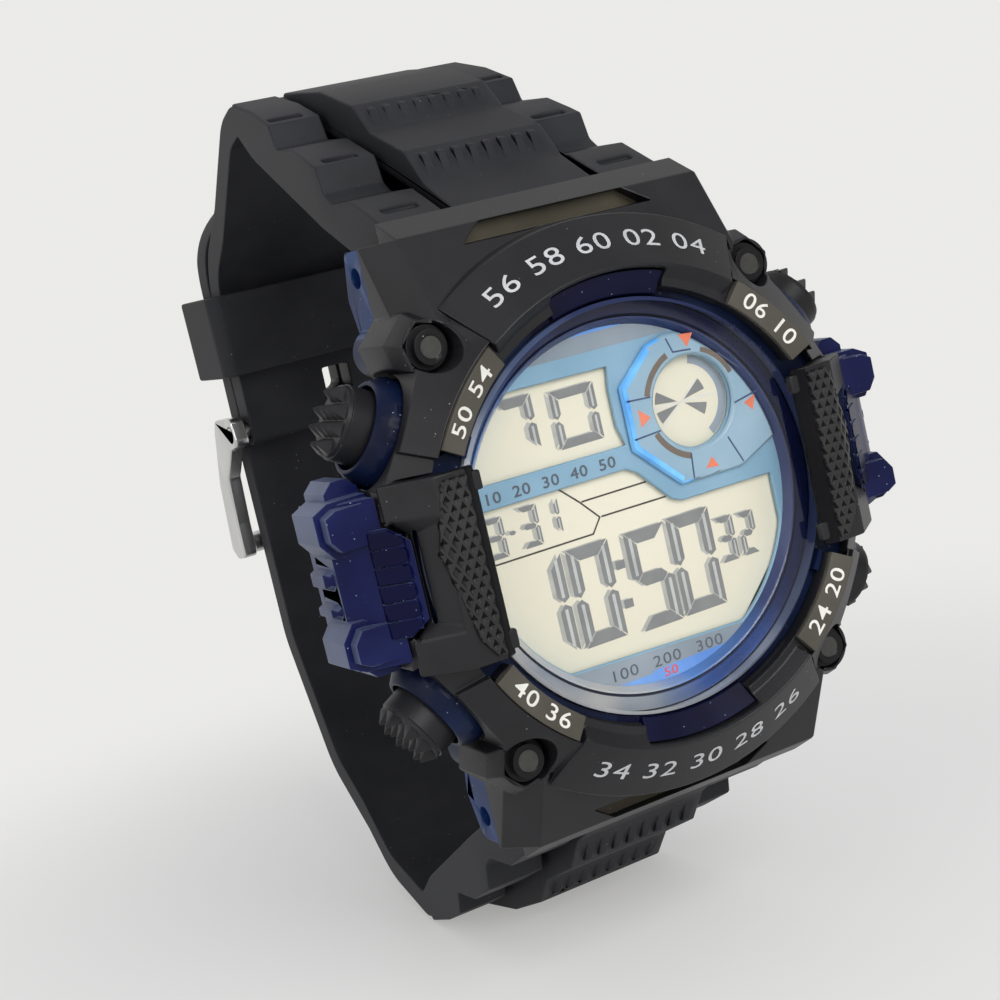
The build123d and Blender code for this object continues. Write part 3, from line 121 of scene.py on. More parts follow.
# Cones that carry print: radius and depth at their inner and outer edges
ARC_CONE = (18.7, -0.1, 22.9, 3.05)
PLATE_CONE = (17.05, 0.35, 19.0, 0.0)
PLATE_MIDDLE = 40.8
ARC_PRINT_RADIUS = 20.75
ARC_PRINT_SIZE = 2.35
PLATE_PRINT_RADIUS = 18.0
PLATE_PRINT_SIZE = 1.8
WIDE_PRINT = 1.3

# Guards' knurled strips: bowed outer edge, and diamonds cut into them
STRIP_INNER = 15.66
STRIP_BOW = ((17.55, 6.85), (18.3, 4.2), (18.5, 0), (18.3, -4.2), (17.55, -6.85))
STRIP_DEPTH = -0.55
STRIP_SINK = 0.3
STRIP_BEND = 17.6
STRIP_FALL = 0.55
STRIP_HALF = 6.85
KNURL_WIDTH = 0.8
KNURL_HEIGHT = 1.5
KNURL_DEPTH = 0.29
KNURL_RIDGE = 0.10
KNURL_WALL = 0.20
KNURL_ROWS = 10
KNURL_COLUMNS = 5
KNURL_SMOOTH = 58

# Ribbed inserts in the guards' windows
INSERT_EDGE = 20.1
INSERT_DEPTH = 1.8
INSERT_SLOPE = 0.935
RIB_PITCH = 1.37
RIB_COUNT = 6
PAD_SINK = 0.1
PAD_THICKNESS = 0.5
PAD_CHAMFER = 0.06

# Cover screws, and their raised middles
SCREW_X = 14.55
SCREW_Z = 16.2
PIN_DEPTH = 3.2
PIN_GROWTH = 1.25
PIN_TOP = (2.8, 3)

# Where a piece's second and third finishes lie
RECESS_HALF = 12
RECESS_REACH = (20, 26)
RECESS_FLOOR = (7.3, 7.9)
LUG_X = 12
LUG_Z = 17.5
SIDE_X = 18.6
SIDE_DEPTH = 3.2
TAB_HALF = 7
TAB_Z = 15
TAB_DEPTH = 2.3
TEETH_HALF = 6
LIP_X = 15.6
LIP_DEPTH = 2

# Catches at the ends of the guards' lips
CATCH_PLACE = (14.75, 6.1, 0.45)
CATCH_SIZE = (1.1, 0.75, 1.5)
CATCH_EDGE = 0.2

# Finishes: grains, clouds and specks for each metre, their stops on a ramp, and depths in metres
BLACK = (0, 0, 0)
WHITE = (1, 1, 1)
TONE_STOPS = (0.3, 0.7)
RESIN_CLOUD = 160
DUST_SCALE = 1200
DUST_PATCHES = 240
PATCH_STOPS = (0.5, 0.62)
DUST_COLOUR = (0.36, 0.36, 0.37, 1)
NAVY_CLOUD = 130
NAVY_STOPS = (0.35, 0.75)
NAVY_SPECKS = 1250
NAVY_SPECK_REACH = 0.085
NAVY_SPECK_COLOUR = (0.35, 0.42, 0.6, 1)
NAVY_GRAIN = 2500
BRUSHING = 1400
FINE_GRAIN = 0.000004
PLAIN_GRAIN = 0.000003
# Painted reflection on the clear rings: the way its tones sweep, its reach in metres, and its streaks' scale
# and share
SWEEP_WAY = (0.8, 0, 0.6)
SWEEP_REACH = 0.016
STREAK_SCALE = 240
STREAK_SHARE = 0.35
DISPLAY_GRAIN = 3000
DISPLAY_FADE = (0.004, 0.0155)


def place(x, z, depth):
    """Point in metres from a place on the watch's front in millimetres."""
    return Vector((x, depth - FACE_REACH, z)) * MM


def put(piece):
    """Put a new object in the scene."""
    bpy.context.scene.collection.objects.link(piece)
    return piece


def copy_of(piece):
    """Copy a piece, with a mesh of its own."""
    copy = put(piece.copy())
    copy.data = piece.data.copy()
    return copy


def only(piece):
    """Select one piece and make it active."""
    bpy.ops.object.select_all(action="DESELECT")
    piece.select_set(True)
    bpy.context.view_layer.objects.active = piece


def finished(piece, name, body, slot, *materials):
    """Name a finished piece, give it its materials and tie it to its body; its slot is not used."""
    piece.name = name
    piece.data.name = name
    piece.data.materials.clear()
    for material in materials:
        piece.data.materials.append(material)
    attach(piece, body)
    return piece


def apply_place(piece):
    """Put a piece's place, turn and scale into its mesh."""
    only(piece)
    bpy.ops.object.transform_apply(location=True, rotation=True, scale=True)


def join(pieces):
    """Join pieces into the first one."""
    only(pieces[0])
    for piece in pieces[1:]:
        piece.select_set(True)
    bpy.ops.object.join()
    return bpy.context.object


def tidy_normals(piece):
    """Merge doubles and turn every face outwards."""
    only(piece)
    bpy.ops.object.mode_set(mode="EDIT")
    bpy.ops.mesh.select_all(action="SELECT")
    bpy.ops.mesh.remove_doubles(threshold=PIECE_MERGE)
    bpy.ops.mesh.normals_make_consistent(inside=False)
    bpy.ops.object.mode_set(mode="OBJECT")


def bevel(piece, width, segments=2, angle=30):
    """Round a piece's edges with an applied bevel, and smooth its curved faces."""
    only(piece)
    rounding = piece.modifiers.new("rounded edges", "BEVEL")
    rounding.width = width * MM
    rounding.segments = segments
    rounding.limit_method = "ANGLE"
    rounding.angle_limit = radians(angle)
    rounding.use_clamp_overlap = False
    rounding.miter_outer = "MITER_ARC"
    bpy.ops.object.modifier_apply(modifier=rounding.name)
    bpy.ops.object.shade_smooth_by_angle(angle=radians(angle))
    shading = piece.modifiers.new("flat faces stay flat", "WEIGHTED_NORMAL")
    shading.keep_sharp = True
    bpy.ops.object.modifier_apply(modifier=shading.name)


# Materials: each is a node material that reads Object coordinates
def add_node(owner, kind, operation=None):
    """Add a shader node to a material or to the world, with its operation."""
    node = owner.node_tree.nodes.new("ShaderNode" + kind)
    if operation:
        node.operation = operation
    return node


def wire(source, output, target, socket):
    """Link a node's output to another node's socket."""
    source.id_data.links.new(source.outputs[output], target.inputs[socket])


def new_material(name, colour, roughness, metallic=0.0, gloss=0.5):
    """Start a finish: its material, its shader and its coordinates."""
    material = bpy.data.materials.new(name)
    material.use_nodes = True
    shader = material.node_tree.nodes["Principled BSDF"]
    shader.inputs["Base Color"].default_value = (*colour, 1)
    shader.inputs["Roughness"].default_value = roughness
    shader.inputs["Metallic"].default_value = metallic
    shader.inputs["Specular IOR Level"].default_value = gloss
    return material, shader, add_node(material, "TexCoord")


def add_noise(material, coordinates, scale, detail=3.0, stretch=(1, 1, 1)):
    """Noise in object space; its scale is in grains for each metre."""
    mapping = add_node(material, "Mapping")
    mapping.inputs["Scale"].default_value = stretch
    wire(coordinates, "Object", mapping, "Vector")
    noise = add_node(material, "TexNoise")
    noise.inputs["Scale"].default_value = scale
    noise.inputs["Detail"].default_value = detail
    wire(mapping, "Vector", noise, "Vector")
    return noise


def add_ramp(material, source, output, stops):
    """Colour ramp behind a value, from places and colours."""
    stops = list(stops)
    ramp = add_node(material, "ValToRGB")
    while len(ramp.color_ramp.elements) < len(stops):
        ramp.color_ramp.elements.new(0.5)
    for element, (position, colour) in zip(ramp.color_ramp.elements, stops):
        element.position = position
        element.color = (*colour, 1)
    wire(source, output, ramp, "Fac")
    return ramp


def add_spread(owner, source, output, low, high, least=0.0, most=1.0):
    """Spread a value that runs from low to high, so that it runs from least to most."""
    spread = add_node(owner, "MapRange")
    for socket, value in (("From Min", low), ("From Max", high), ("To Min", least), ("To Max", most)):
        spread.inputs[socket].default_value = value
    wire(source, output, spread, "Value")
    return spread


def add_bump(material, shader, noise, distance):
    """Bump from a noise; the distance is in metres."""
    bump = add_node(material, "Bump")
    bump.inputs["Distance"].default_value = distance
    wire(noise, "Fac", bump, "Height")
    wire(bump, "Normal", shader, "Normal")


def add_roughness(material, shader, noise, low, high):
    """Roughness that varies between two values."""
    wire(add_spread(material, noise, "Fac", 0, 1, low, high), "Result", shader, "Roughness")


def add_specks(material, coordinates, scale, reach):
    """Mask of small round specks; their reach is a share of their spacing."""
    specks = add_node(material, "TexVoronoi")
    specks.inputs["Scale"].default_value = scale
    wire(coordinates, "Object", specks, "Vector")
    return add_ramp(material, specks, "Distance", ((0.0, WHITE), (reach, BLACK)))


def lay_specks(material, shader, tone, mask, output, colour):
    """Colour a finish by its tone, with specks of another colour where the mask is white."""
    mix = add_node(material, "Mix")
    mix.data_type = "RGBA"
    mix.inputs["B"].default_value = colour
    wire(mask, output, mix, "Factor")
    wire(tone, "Color", mix, "A")
    wire(mix, "Result", shader, "Base Color")


def mix_surfaces(owner, share, output, first, second):
    """Make the surface of two shaders; the share is the second one's."""
    mix = add_node(owner, "MixShader")
    wire(share, output, mix, "Fac")
    wire(first, 0, mix, 1)
    wire(second, 0, mix, 2)
    wire(mix, "Shader", owner.node_tree.get_output_node("ALL"), "Surface")


def dusty_finish(name, dark, light, roughness, grain_scale, grain_depth, dust, gloss=0.22):
    """Matt moulded finish: slow tone changes, a fine grain and a few specks of dust."""
    material, shader, coordinates = new_material(name, dark, roughness, 0, gloss)
    cloud = add_noise(material, coordinates, RESIN_CLOUD)
    tone = add_ramp(material, cloud, "Fac", zip(TONE_STOPS, (dark, light)))
    speck_mask = add_specks(material, coordinates, DUST_SCALE, dust)
    patches = add_noise(material, coordinates, DUST_PATCHES, 2.0)
    patch_mask = add_ramp(material, patches, "Fac", zip(PATCH_STOPS, (BLACK, WHITE)))
    both = add_node(material, "Math", "MULTIPLY")
    wire(speck_mask, "Color", both, 0)
    wire(patch_mask, "Color", both, 1)
    lay_specks(material, shader, tone, both, "Value", DUST_COLOUR)
    add_bump(material, shader, add_noise(material, coordinates, grain_scale, 2.0), grain_depth)
    add_roughness(material, shader, cloud, roughness - 0.06, roughness + 0.06)
    return material


def navy_finish(name, deep, pale, roughness, gloss):
    """Dark blue translucent plastic: slow tone changes, a fine grain and a few bright specks."""
    material, shader, coordinates = new_material(name, deep, roughness, 0, gloss)
    cloud = add_noise(material, coordinates, NAVY_CLOUD, 2.0)
    tone = add_ramp(material, cloud, "Fac", zip(NAVY_STOPS, (deep, pale)))
    speck_mask = add_specks(material, coordinates, NAVY_SPECKS, NAVY_SPECK_REACH)
    lay_specks(material, shader, tone, speck_mask, "Color", NAVY_SPECK_COLOUR)
    add_bump(material, shader, add_noise(material, coordinates, NAVY_GRAIN, 2.0), FINE_GRAIN)
    return material


def brushed_finish(name, dark, light, roughness, stretch):
    """Metal with fine brushing along one direction."""
    material, shader, coordinates = new_material(name, dark, roughness, 1.0)
    brushing = add_noise(material, coordinates, BRUSHING, 2.0, stretch)
    tone = add_ramp(material, brushing, "Fac", zip(TONE_STOPS, (dark, light)))
    wire(tone, "Color", shader, "Base Color")
    add_bump(material, shader, brushing, FINE_GRAIN)
    add_roughness(material, shader, brushing, roughness - 0.05, roughness + 0.08)
    return material


def plain_finish(name, dark, light, roughness, scale=500, metallic=0.0):
    """Even finish with slight cloudiness, for printed and hidden parts."""
    material, shader, coordinates = new_material(name, dark, roughness, metallic)
    cloud = add_noise(material, coordinates, scale)
    tone = add_ramp(material, cloud, "Fac", zip(TONE_STOPS, (dark, light)))
    wire(tone, "Color", shader, "Base Color")
    add_bump(material, shader, cloud, PLAIN_GRAIN)
    return material


def painted_reflection_finish(name, roughness, stops):
    """Painted reflection for clear rings: tones that sweep from silvery at the lower left to dark navy
    towards the upper right, with streaks, stand in for what the rings reflect.
    """
    material, shader, coordinates = new_material(name, stops[0][1], roughness)
    sweep = add_node(material, "VectorMath", "DOT_PRODUCT")
    sweep.inputs[1].default_value = SWEEP_WAY
    wire(coordinates, "Object", sweep, 0)
    blend = add_node(material, "Math", "MULTIPLY_ADD")
    blend.inputs[1].default_value = STREAK_SHARE
    wire(add_noise(material, coordinates, STREAK_SCALE, 0.0), "Fac", blend, 0)
    wire(add_spread(material, sweep, "Value", -SWEEP_REACH, SWEEP_REACH), "Result", blend, 2)
    wire(add_ramp(material, blend, "Value", stops), "Color", shader, "Base Color")
    return material


def clear_finish(name, tint, roughness, ior):
    """Clear lens: what is behind shows through, and only its gloss is added."""
    material = bpy.data.materials.new(name)
    material.use_nodes = True
    nodes = material.node_tree.nodes
    nodes.remove(nodes["Principled BSDF"])
    through = add_node(material, "BsdfTransparent")
    through.inputs["Color"].default_value = (*tint, 1)
    gloss = add_node(material, "BsdfGlossy")
    gloss.inputs["Roughness"].default_value = roughness
    edge = add_node(material, "Fresnel")
    edge.inputs["IOR"].default_value = ior
    outer = add_node(material, "Mix")
    wire(add_node(material, "NewGeometry"), "Backfacing", outer, "Factor")
    wire(edge, "Fac", outer, "A")
    mix_surfaces(material, outer, "Result", through, gloss)
    return material


def display_finish():
    """Cream display glass, a little darker towards its edges."""
    material, shader, coordinates = new_material("display cream", (0.75, 0.71, 0.57), 0.25)
    centre = add_node(material, "Mapping")
    centre.inputs["Location"].default_value = (0, (FACE_REACH - DISPLAY_DEPTH) * MM, 0)
    wire(coordinates, "Object", centre, "Vector")
    reach = add_node(material, "VectorMath", "LENGTH")
    wire(centre, "Vector", reach, 0)
    tone = add_ramp(
        material, add_spread(material, reach, "Value", *DISPLAY_FADE), "Result",
        ((0.0, (0.77, 0.73, 0.585)), (0.7, (0.73, 0.695, 0.55)), (1.0, (0.63, 0.62, 0.52))),
    )
    wire(tone, "Color", shader, "Base Color")
    add_bump(material, shader, add_noise(material, coordinates, DISPLAY_GRAIN, 2.0), FINE_GRAIN / 2)
    return material


# Resins and rubber: dark and light tones, roughness, grain scale, grain depth in metres, reach of dust, gloss
black_resin = dusty_finish(
    "black resin", (0.007, 0.007, 0.0085), (0.012, 0.012, 0.014), 0.42, 5200, 0.000010, 0.08, 0.3,
)
knurl_resin = dusty_finish(
    "knurl resin", (0.009, 0.009, 0.009), (0.017, 0.0165, 0.016), 0.38, 5200, 0.000006, 0.05, 0.4,
)
# Darkest black: for the guards' lips, and painted shade in the knurl's pits and beside the strap's teeth
black_gloss_and_shade = dusty_finish(
    "black gloss and shade", (0.003, 0.003, 0.004), (0.005, 0.005, 0.006), 0.3, 5200, 0.000003, 0.04, 0.1,
)
strap_rubber = dusty_finish(
    "strap rubber", (0.0145, 0.015, 0.0175), (0.0235, 0.024, 0.028), 0.55, 4200, 0.000014, 0.075, 0.17,
)
pusher_black = dusty_finish(
    "pusher black", (0.008, 0.008, 0.009), (0.014, 0.014, 0.016), 0.42, 5200, 0.000008, 0.05,
)
label_grey = dusty_finish(
    "label grey", (0.058, 0.052, 0.042), (0.080, 0.072, 0.060), 0.42, 6000, 0.000006, 0.04,
)
screw_dark = dusty_finish(
    "screw dark", (0.004, 0.004, 0.005), (0.007, 0.007, 0.008), 0.38, 5200, 0.000005, 0.08, 0.2,
)
screw_disc = plain_finish("screw disc", (0.022, 0.021, 0.018), (0.034, 0.033, 0.029), 0.45, 1600)
navy_deep = navy_finish("navy deep", (0.002, 0.003, 0.036), (0.008, 0.014, 0.078), 0.24, 0.16)
# Paler, greyer navy: a frosted look together with painted sheen, for facets that turn away from the front
navy_frost_and_sheen = navy_finish("navy frost and sheen", (0.030, 0.042, 0.100), (0.080, 0.105, 0.190), 0.45, 0.5)
recess_resin = dusty_finish(
    "recess resin", (0.040, 0.034, 0.022), (0.068, 0.058, 0.038), 0.5, 5200, 0.000008, 0.07,
)
navy_insert = navy_finish("navy insert", (0.002, 0.002, 0.020), (0.003, 0.004, 0.040), 0.35, 0.1)
navy_tab = navy_finish("navy tab", (0.002, 0.002, 0.014), (0.004, 0.006, 0.035), 0.45, 0.12)
navy_lug = navy_finish("navy lug", (0.003, 0.012, 0.060), (0.013, 0.055, 0.19), 0.3, 0.12)
navy_case = navy_finish("navy case", (0.002, 0.004, 0.018), (0.007, 0.018, 0.060), 0.4, 0.14)
back_steel = brushed_finish("back steel", (0.46, 0.46, 0.47), (0.60, 0.60, 0.61), 0.32, (0.05, 1, 1))
buckle_steel = brushed_finish("buckle steel", (0.50, 0.50, 0.50), (0.66, 0.66, 0.65), 0.28, (1, 0.3, 0.08))
clip_steel = brushed_finish("clip steel", (0.45, 0.45, 0.46), (0.58, 0.58, 0.59), 0.35, (0.1, 1, 1))
cell_steel = brushed_finish("cell steel", (0.55, 0.55, 0.55), (0.68, 0.68, 0.67), 0.3, (1, 1, 0.1))
clear_lens = clear_finish("clear lens", (0.985, 0.985, 0.985), 0.06, 1.45)
# Painted reflection for the crystal's bevelled rim
lens_rim_reflection = painted_reflection_finish(
    "lens rim reflection", 0.15,
    (
        (0.15, (0.60, 0.61, 0.62)), (0.45, (0.34, 0.38, 0.44)), (0.7, (0.08, 0.11, 0.20)),
        (0.95, (0.03, 0.04, 0.10)),
    ),
)
# Painted reflection for the ring round the dial
dial_liner_reflection = painted_reflection_finish(
    "dial liner reflection", 0.2,
    (
        (0.12, (0.52, 0.50, 0.45)), (0.32, (0.36, 0.40, 0.46)), (0.47, (0.07, 0.20, 0.52)),
        (0.75, (0.02, 0.035, 0.12)),
    ),
)
display_cream = display_finish()
segment_grey = plain_finish("segment grey", (0.185, 0.190, 0.190), (0.225, 0.230, 0.228), 0.3)
# Painted highlight for the streaks in the digits' bars
segment_highlight = plain_finish("segment highlight", (0.42, 0.43, 0.42), (0.56, 0.57, 0.54), 0.3)
segment_shadow = plain_finish("segment shadow", (0.36, 0.36, 0.33), (0.46, 0.46, 0.42), 0.4, 900)
segment_line = plain_finish("segment line", (0.035, 0.028, 0.020), (0.055, 0.045, 0.035), 0.4)
dial_blue = plain_finish("dial blue", (0.185, 0.345, 0.470), (0.245, 0.415, 0.540), 0.35, 150)
dial_grey = plain_finish("dial grey", (0.22, 0.27, 0.31), (0.29, 0.34, 0.39), 0.35, 180)
dial_sky = plain_finish("dial sky", (0.09, 0.25, 0.66), (0.18, 0.38, 0.80), 0.3, 180)
ring_blue = plain_finish("ring blue", (0.22, 0.36, 0.47), (0.31, 0.45, 0.55), 0.3, 150)
# Painted highlight for the raised plate's left-hand edges
ring_edge_highlight = plain_finish("ring edge highlight", (0.07, 0.34, 0.85), (0.20, 0.58, 0.98), 0.2, 420)
dial_line = plain_finish("dial line", (0.030, 0.050, 0.12), (0.05, 0.08, 0.18), 0.3)
dial_ink = plain_finish("dial ink", (0.060, 0.075, 0.100), (0.080, 0.100, 0.130), 0.4)
brown_ink = plain_finish("brown ink", (0.13, 0.10, 0.075), (0.17, 0.13, 0.10), 0.4)
orange_ink = plain_finish("orange ink", (0.70, 0.16, 0.08), (0.80, 0.22, 0.12), 0.4)
red_ink = plain_finish("red ink", (0.62, 0.09, 0.10), (0.72, 0.14, 0.15), 0.4)
label_white = plain_finish("label white", (0.62, 0.61, 0.56), (0.74, 0.73, 0.68), 0.4, 700)
arc_silver = plain_finish("arc silver", (0.40, 0.40, 0.41), (0.52, 0.52, 0.53), 0.4, 700)
module_plastic = plain_finish("module plastic", (0.03, 0.03, 0.03), (0.05, 0.05, 0.05), 0.5)
connector_rubber = plain_finish("connector rubber", (0.25, 0.13, 0.12), (0.32, 0.18, 0.17), 0.6)
# Painted reflection for the crystal gasket
gasket_reflection = painted_reflection_finish(
    "gasket reflection", 0.25,
    (
        (0.10, (0.44, 0.43, 0.40)), (0.32, (0.18, 0.22, 0.28)), (0.50, (0.02, 0.07, 0.27)),
        (0.80, (0.006, 0.010, 0.05)),
    ),
)
gasket_rubber = plain_finish("gasket rubber", (0.010, 0.010, 0.010), (0.016, 0.016, 0.016), 0.5)
light_panel = plain_finish("light panel", (0.45, 0.50, 0.35), (0.52, 0.57, 0.42), 0.3)
board_green = plain_finish("board green", (0.015, 0.10, 0.035), (0.025, 0.14, 0.05), 0.25)
contact_brass = plain_finish("contact brass", (0.55, 0.36, 0.12), (0.66, 0.45, 0.18), 0.3, 900, 1.0)

# CAD nodes that keep their own mesh take a finish only
CORNERS = ("upper_right", "upper_left", "lower_left", "lower_right")
# The crystal gasket's finish is a painted reflection
for node_name, material in (
    ("crystal_gasket", gasket_reflection), ("backlight_panel", light_panel), ("lcd_panel", display_cream),
    ("module_frame", module_plastic), ("zebra_connectors", connector_rubber), ("circuit_board", board_green),
    ("switch_contacts", contact_brass), ("battery", cell_steel), ("battery_clip", clip_steel),
    ("buzzer", contact_brass), ("case_back_gasket", gasket_rubber), ("pusher_seals", gasket_rubber),
    ("pusher_springs", clip_steel), ("spring_bars", clip_steel),
    *[("pusher_clip_" + corner, clip_steel) for corner in CORNERS],
):
    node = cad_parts[node_name]
    node.data.materials.clear()
    node.data.materials.append(material)


def dressed(node_name, body, slot, width, *materials, angle=30, segments=2, ring=False, shape_up=None):
    """Copy a CAD node's mesh, merge its flat faces and round its edges; the copy stands for the node.

    A ring's wide faces are cut into triangles before the rounding, so that none closes over its opening.
    The last step before the rounding may be a change of shape.
    """
    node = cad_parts[node_name]
    piece = copy_of(node)
    only(piece)
    bpy.ops.object.mode_set(mode="EDIT")
    bpy.ops.mesh.select_all(action="SELECT")
    bpy.ops.mesh.remove_doubles(threshold=NODE_MERGE)
    bpy.ops.mesh.dissolve_limited(angle_limit=radians(FLAT_JOINT))
    if ring:
        bpy.ops.mesh.select_mode(type="FACE")
        shape = bmesh.from_edit_mesh(piece.data)
        for face in shape.faces:
            face.select = len(face.verts) > RING_CORNERS
        bmesh.update_edit_mesh(piece.data)
        bpy.ops.mesh.quads_convert_to_tris(quad_method="BEAUTY", ngon_method="BEAUTY")
        bpy.ops.mesh.select_mode(type="VERT")
    bpy.ops.object.mode_set(mode="OBJECT")
    if shape_up:
        shape_up(piece)
    bevel(piece, width, segments, angle)
    finished(piece, node_name + "_dressed", body, slot, *materials)
    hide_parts(node_name)
    return piece


def paint_faces(piece, index, wanted):
    """Give one of a piece's materials to the faces that a test picks by centre (x, z, depth) and normal."""
    for face in piece.data.polygons:
        centre = face.center / MM
        if wanted(Vector((centre.x, centre.z, centre.y + FACE_REACH)), face.normal):
            face.material_index = index


def sink_strip(guard):
    """Lower a guard's strip, to make room for the knurl on it."""
    for vertex in guard.data.vertices:
        if vertex.co.y < (STRIP_DEPTH + 0.02 - FACE_REACH) * MM:
            vertex.co.y += STRIP_SINK * MM


def widen_pins(screws):
    """Widen the raised middles of the cover screws."""
    for vertex in screws.data.vertices:
        if vertex.co.y < (PIN_DEPTH - FACE_REACH) * MM:
            x = SCREW_X * MM if vertex.co.x > 0 else -SCREW_X * MM
            z = SCREW_Z * MM if vertex.co.z > 0 else -SCREW_Z * MM
            vertex.co.x = x + (vertex.co.x - x) * PIN_GROWTH
            vertex.co.z = z + (vertex.co.z - z) * PIN_GROWTH


# Shell, case, guards and labels
cover = dressed("case_cover", "case", "black_cover", COVER_EDGE, black_resin, recess_resin)
paint_faces(
    cover, 1,
    lambda centre, normal: abs(centre.x) < RECESS_HALF and RECESS_REACH[0] < abs(centre.y) < RECESS_REACH[1]
    and RECESS_FLOOR[0] < centre.z < RECESS_FLOOR[1] and normal.y < -0.85,
)
case = dressed(
    "case_body", "case", "navy_case", CASE_EDGE, navy_case, navy_lug, black_resin, navy_tab, ring=True,
)
paint_faces(case, 1, lambda centre, normal: abs(centre.y) > LUG_Z and abs(centre.x) > LUG_X)
# Faces of the case that show in the slit beside the guards' flares take black resin: painted shade
paint_faces(case, 2, lambda centre, normal: abs(centre.x) > SIDE_X and centre.z < SIDE_DEPTH)
paint_faces(
    case, 3,
    lambda centre, normal: abs(centre.x) < TAB_HALF and abs(centre.y) > TAB_Z and centre.z < TAB_DEPTH,
)
dressed("label_plates", "case", "label_grey", LABEL_EDGE, label_grey)
for half in ("upper", "lower"):
    strap = dressed("strap_" + half, "case", "strap_resin", STRAP_EDGE, strap_rubber, black_gloss_and_shade)
    # The teeth's upright side walls take the darkest black: painted shade beside each tooth
    paint_faces(strap, 1, lambda centre, normal: abs(normal.x) > 0.9 and abs(centre.x) < TEETH_HALF)
dressed("strap_keeper", "keeper", "strap_resin", KEEPER_EDGE, strap_rubber)
dressed("buckle_frame", "buckle", "buckle_steel", BUCKLE_EDGE, buckle_steel, segments=3)
dressed("buckle_tongue", "tongue", "buckle_steel", TONGUE_EDGE, buckle_steel, segments=3)
dressed("buckle_pin", "case", "buckle_steel", BAR_EDGE, buckle_steel)
dressed("case_back", "case", "back_steel", BACK_EDGE, back_steel)
dressed("case_back_screws", "case", "screw_steel", BACK_SCREW_EDGE, back_steel)
for side in ("right", "left"):
    guard = dressed(
        "guard_" + side, "case", "black_cover", GUARD_EDGE, black_resin, black_gloss_and_shade, shape_up=sink_strip,
    )
    paint_faces(guard, 1, lambda centre, normal: abs(centre.x) < LIP_X and centre.z < LIP_DEPTH)
    bumper = dressed("bumper_" + side, "case", "navy_bumper", BUMPER_EDGE, navy_deep, navy_frost_and_sheen)
    # Facets that don't face the front take the paler navy: frosted, and a painted sheen from the bright
    # surroundings
    paint_faces(bumper, 1, lambda centre, normal: normal.y > -0.5)
for corner in CORNERS:
    dressed("pusher_" + corner, "pusher_" + corner, "pusher_black", PUSHER_EDGE, pusher_black)
screws = dressed(
    "cover_screws", "case", "screw_steel", SCREW_EDGE, screw_dark, screw_disc, angle=40, shape_up=widen_pins,
)
paint_faces(screws, 1, lambda centre, normal: normal.y < -0.9 and PIN_TOP[0] < centre.z < PIN_TOP[1])


def lathe(name, profile, start, end, steps, close=False):
    """Spin a profile of radius and depth pairs round the dial's axis, between two angles."""
    bpy.ops.mesh.primitive_plane_add(size=MM)
    piece = bpy.context.object
    bpy.ops.object.mode_set(mode="EDIT")
    bpy.ops.mesh.delete(type="VERT")
    shape = bmesh.from_edit_mesh(piece.data)
    turn = radians(start)
    points = [shape.verts.new(place(r * cos(turn), r * sin(turn), depth)) for r, depth in profile]
    for first, second in zip(points, points[1:] + (points[:1] if close else [])):
        shape.edges.new((first, second))
    bmesh.update_edit_mesh(piece.data)
    bpy.ops.mesh.select_all(action="SELECT")
    bpy.ops.mesh.spin(steps=steps, angle=radians(start - end), center=(0, 0, 0), axis=(0, 1, 0))
    if end - start < 360 and close:
        bpy.ops.mesh.select_all(action="DESELECT")
        bpy.ops.mesh.select_non_manifold()
        bpy.ops.mesh.edge_face_add()
    bpy.ops.object.mode_set(mode="OBJECT")
    tidy_normals(piece)
    piece.name = name
    return piece


# Crystal: one spun lens with a shallow dome and a bevelled rim, whose colour is a painted reflection, silvery
# at the lower left and dark navy towards the upper right
dome = [
    (share * (CRYSTAL_RADIUS - CRYSTAL_BEVEL), CRYSTAL_CROWN + (CRYSTAL_EDGE - CRYSTAL_CROWN) * share**2)
    for share in (0, 0.2, 0.4, 0.6, 0.8, 1)
]
crystal = lathe(
    "crystal lens",
    [(0, CRYSTAL_BACK), (CRYSTAL_RADIUS, CRYSTAL_BACK), (CRYSTAL_RADIUS, CRYSTAL_EDGE + CRYSTAL_BEVEL)]
    + dome[::-1],
    0, 360, LATHE_STEPS,
)
bpy.ops.object.shade_smooth_by_angle(angle=radians(20))
finished(crystal, "crystal_lens", "case", "crystal", clear_lens, lens_rim_reflection)
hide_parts("crystal")
# The rim's bevel takes the painted reflection
paint_faces(
    crystal, 1, lambda centre, normal: Vector((centre.x, centre.y)).length > CRYSTAL_RADIUS - CRYSTAL_BEVEL,
)
# Ring round the dial, coloured with a painted reflection
dial_rim = lathe(
    "dial rim",
    [
        (LINER_OUTER, 3.3), (LINER_MIDDLE, 3.36), (LINER_INNER, DIAL_DEPTH - 0.05),
        (LINER_INNER, DIAL_DEPTH - 0.01), (LINER_OUTER, DIAL_DEPTH - 0.01),
    ],
    0, 360, LATHE_STEPS, close=True,
)
bpy.ops.object.shade_smooth_by_angle(angle=radians(30))
finished(dial_rim, "dial_rim", "case", "display_cream", dial_liner_reflection)

# Stepped blue ring that shows between the guards and the label plates
STEP_PROFILE = [
    (16.42, 2.15), (16.42, 1.35), (16.85, 1.35), (16.85, 1.6), (17.3, 1.6), (17.3, 1.8), (18.0, 1.8),
    (18.0, 2.15),
]
STEP_REACH = 2.9
front_steps = join([
    lathe("front step", STEP_PROFILE, middle - STEP_REACH, middle + STEP_REACH, 4, close=True)
    for middle in (25, 155, 205, 335)
])
finished(front_steps, "front_steps", "case", "navy_case", navy_case)


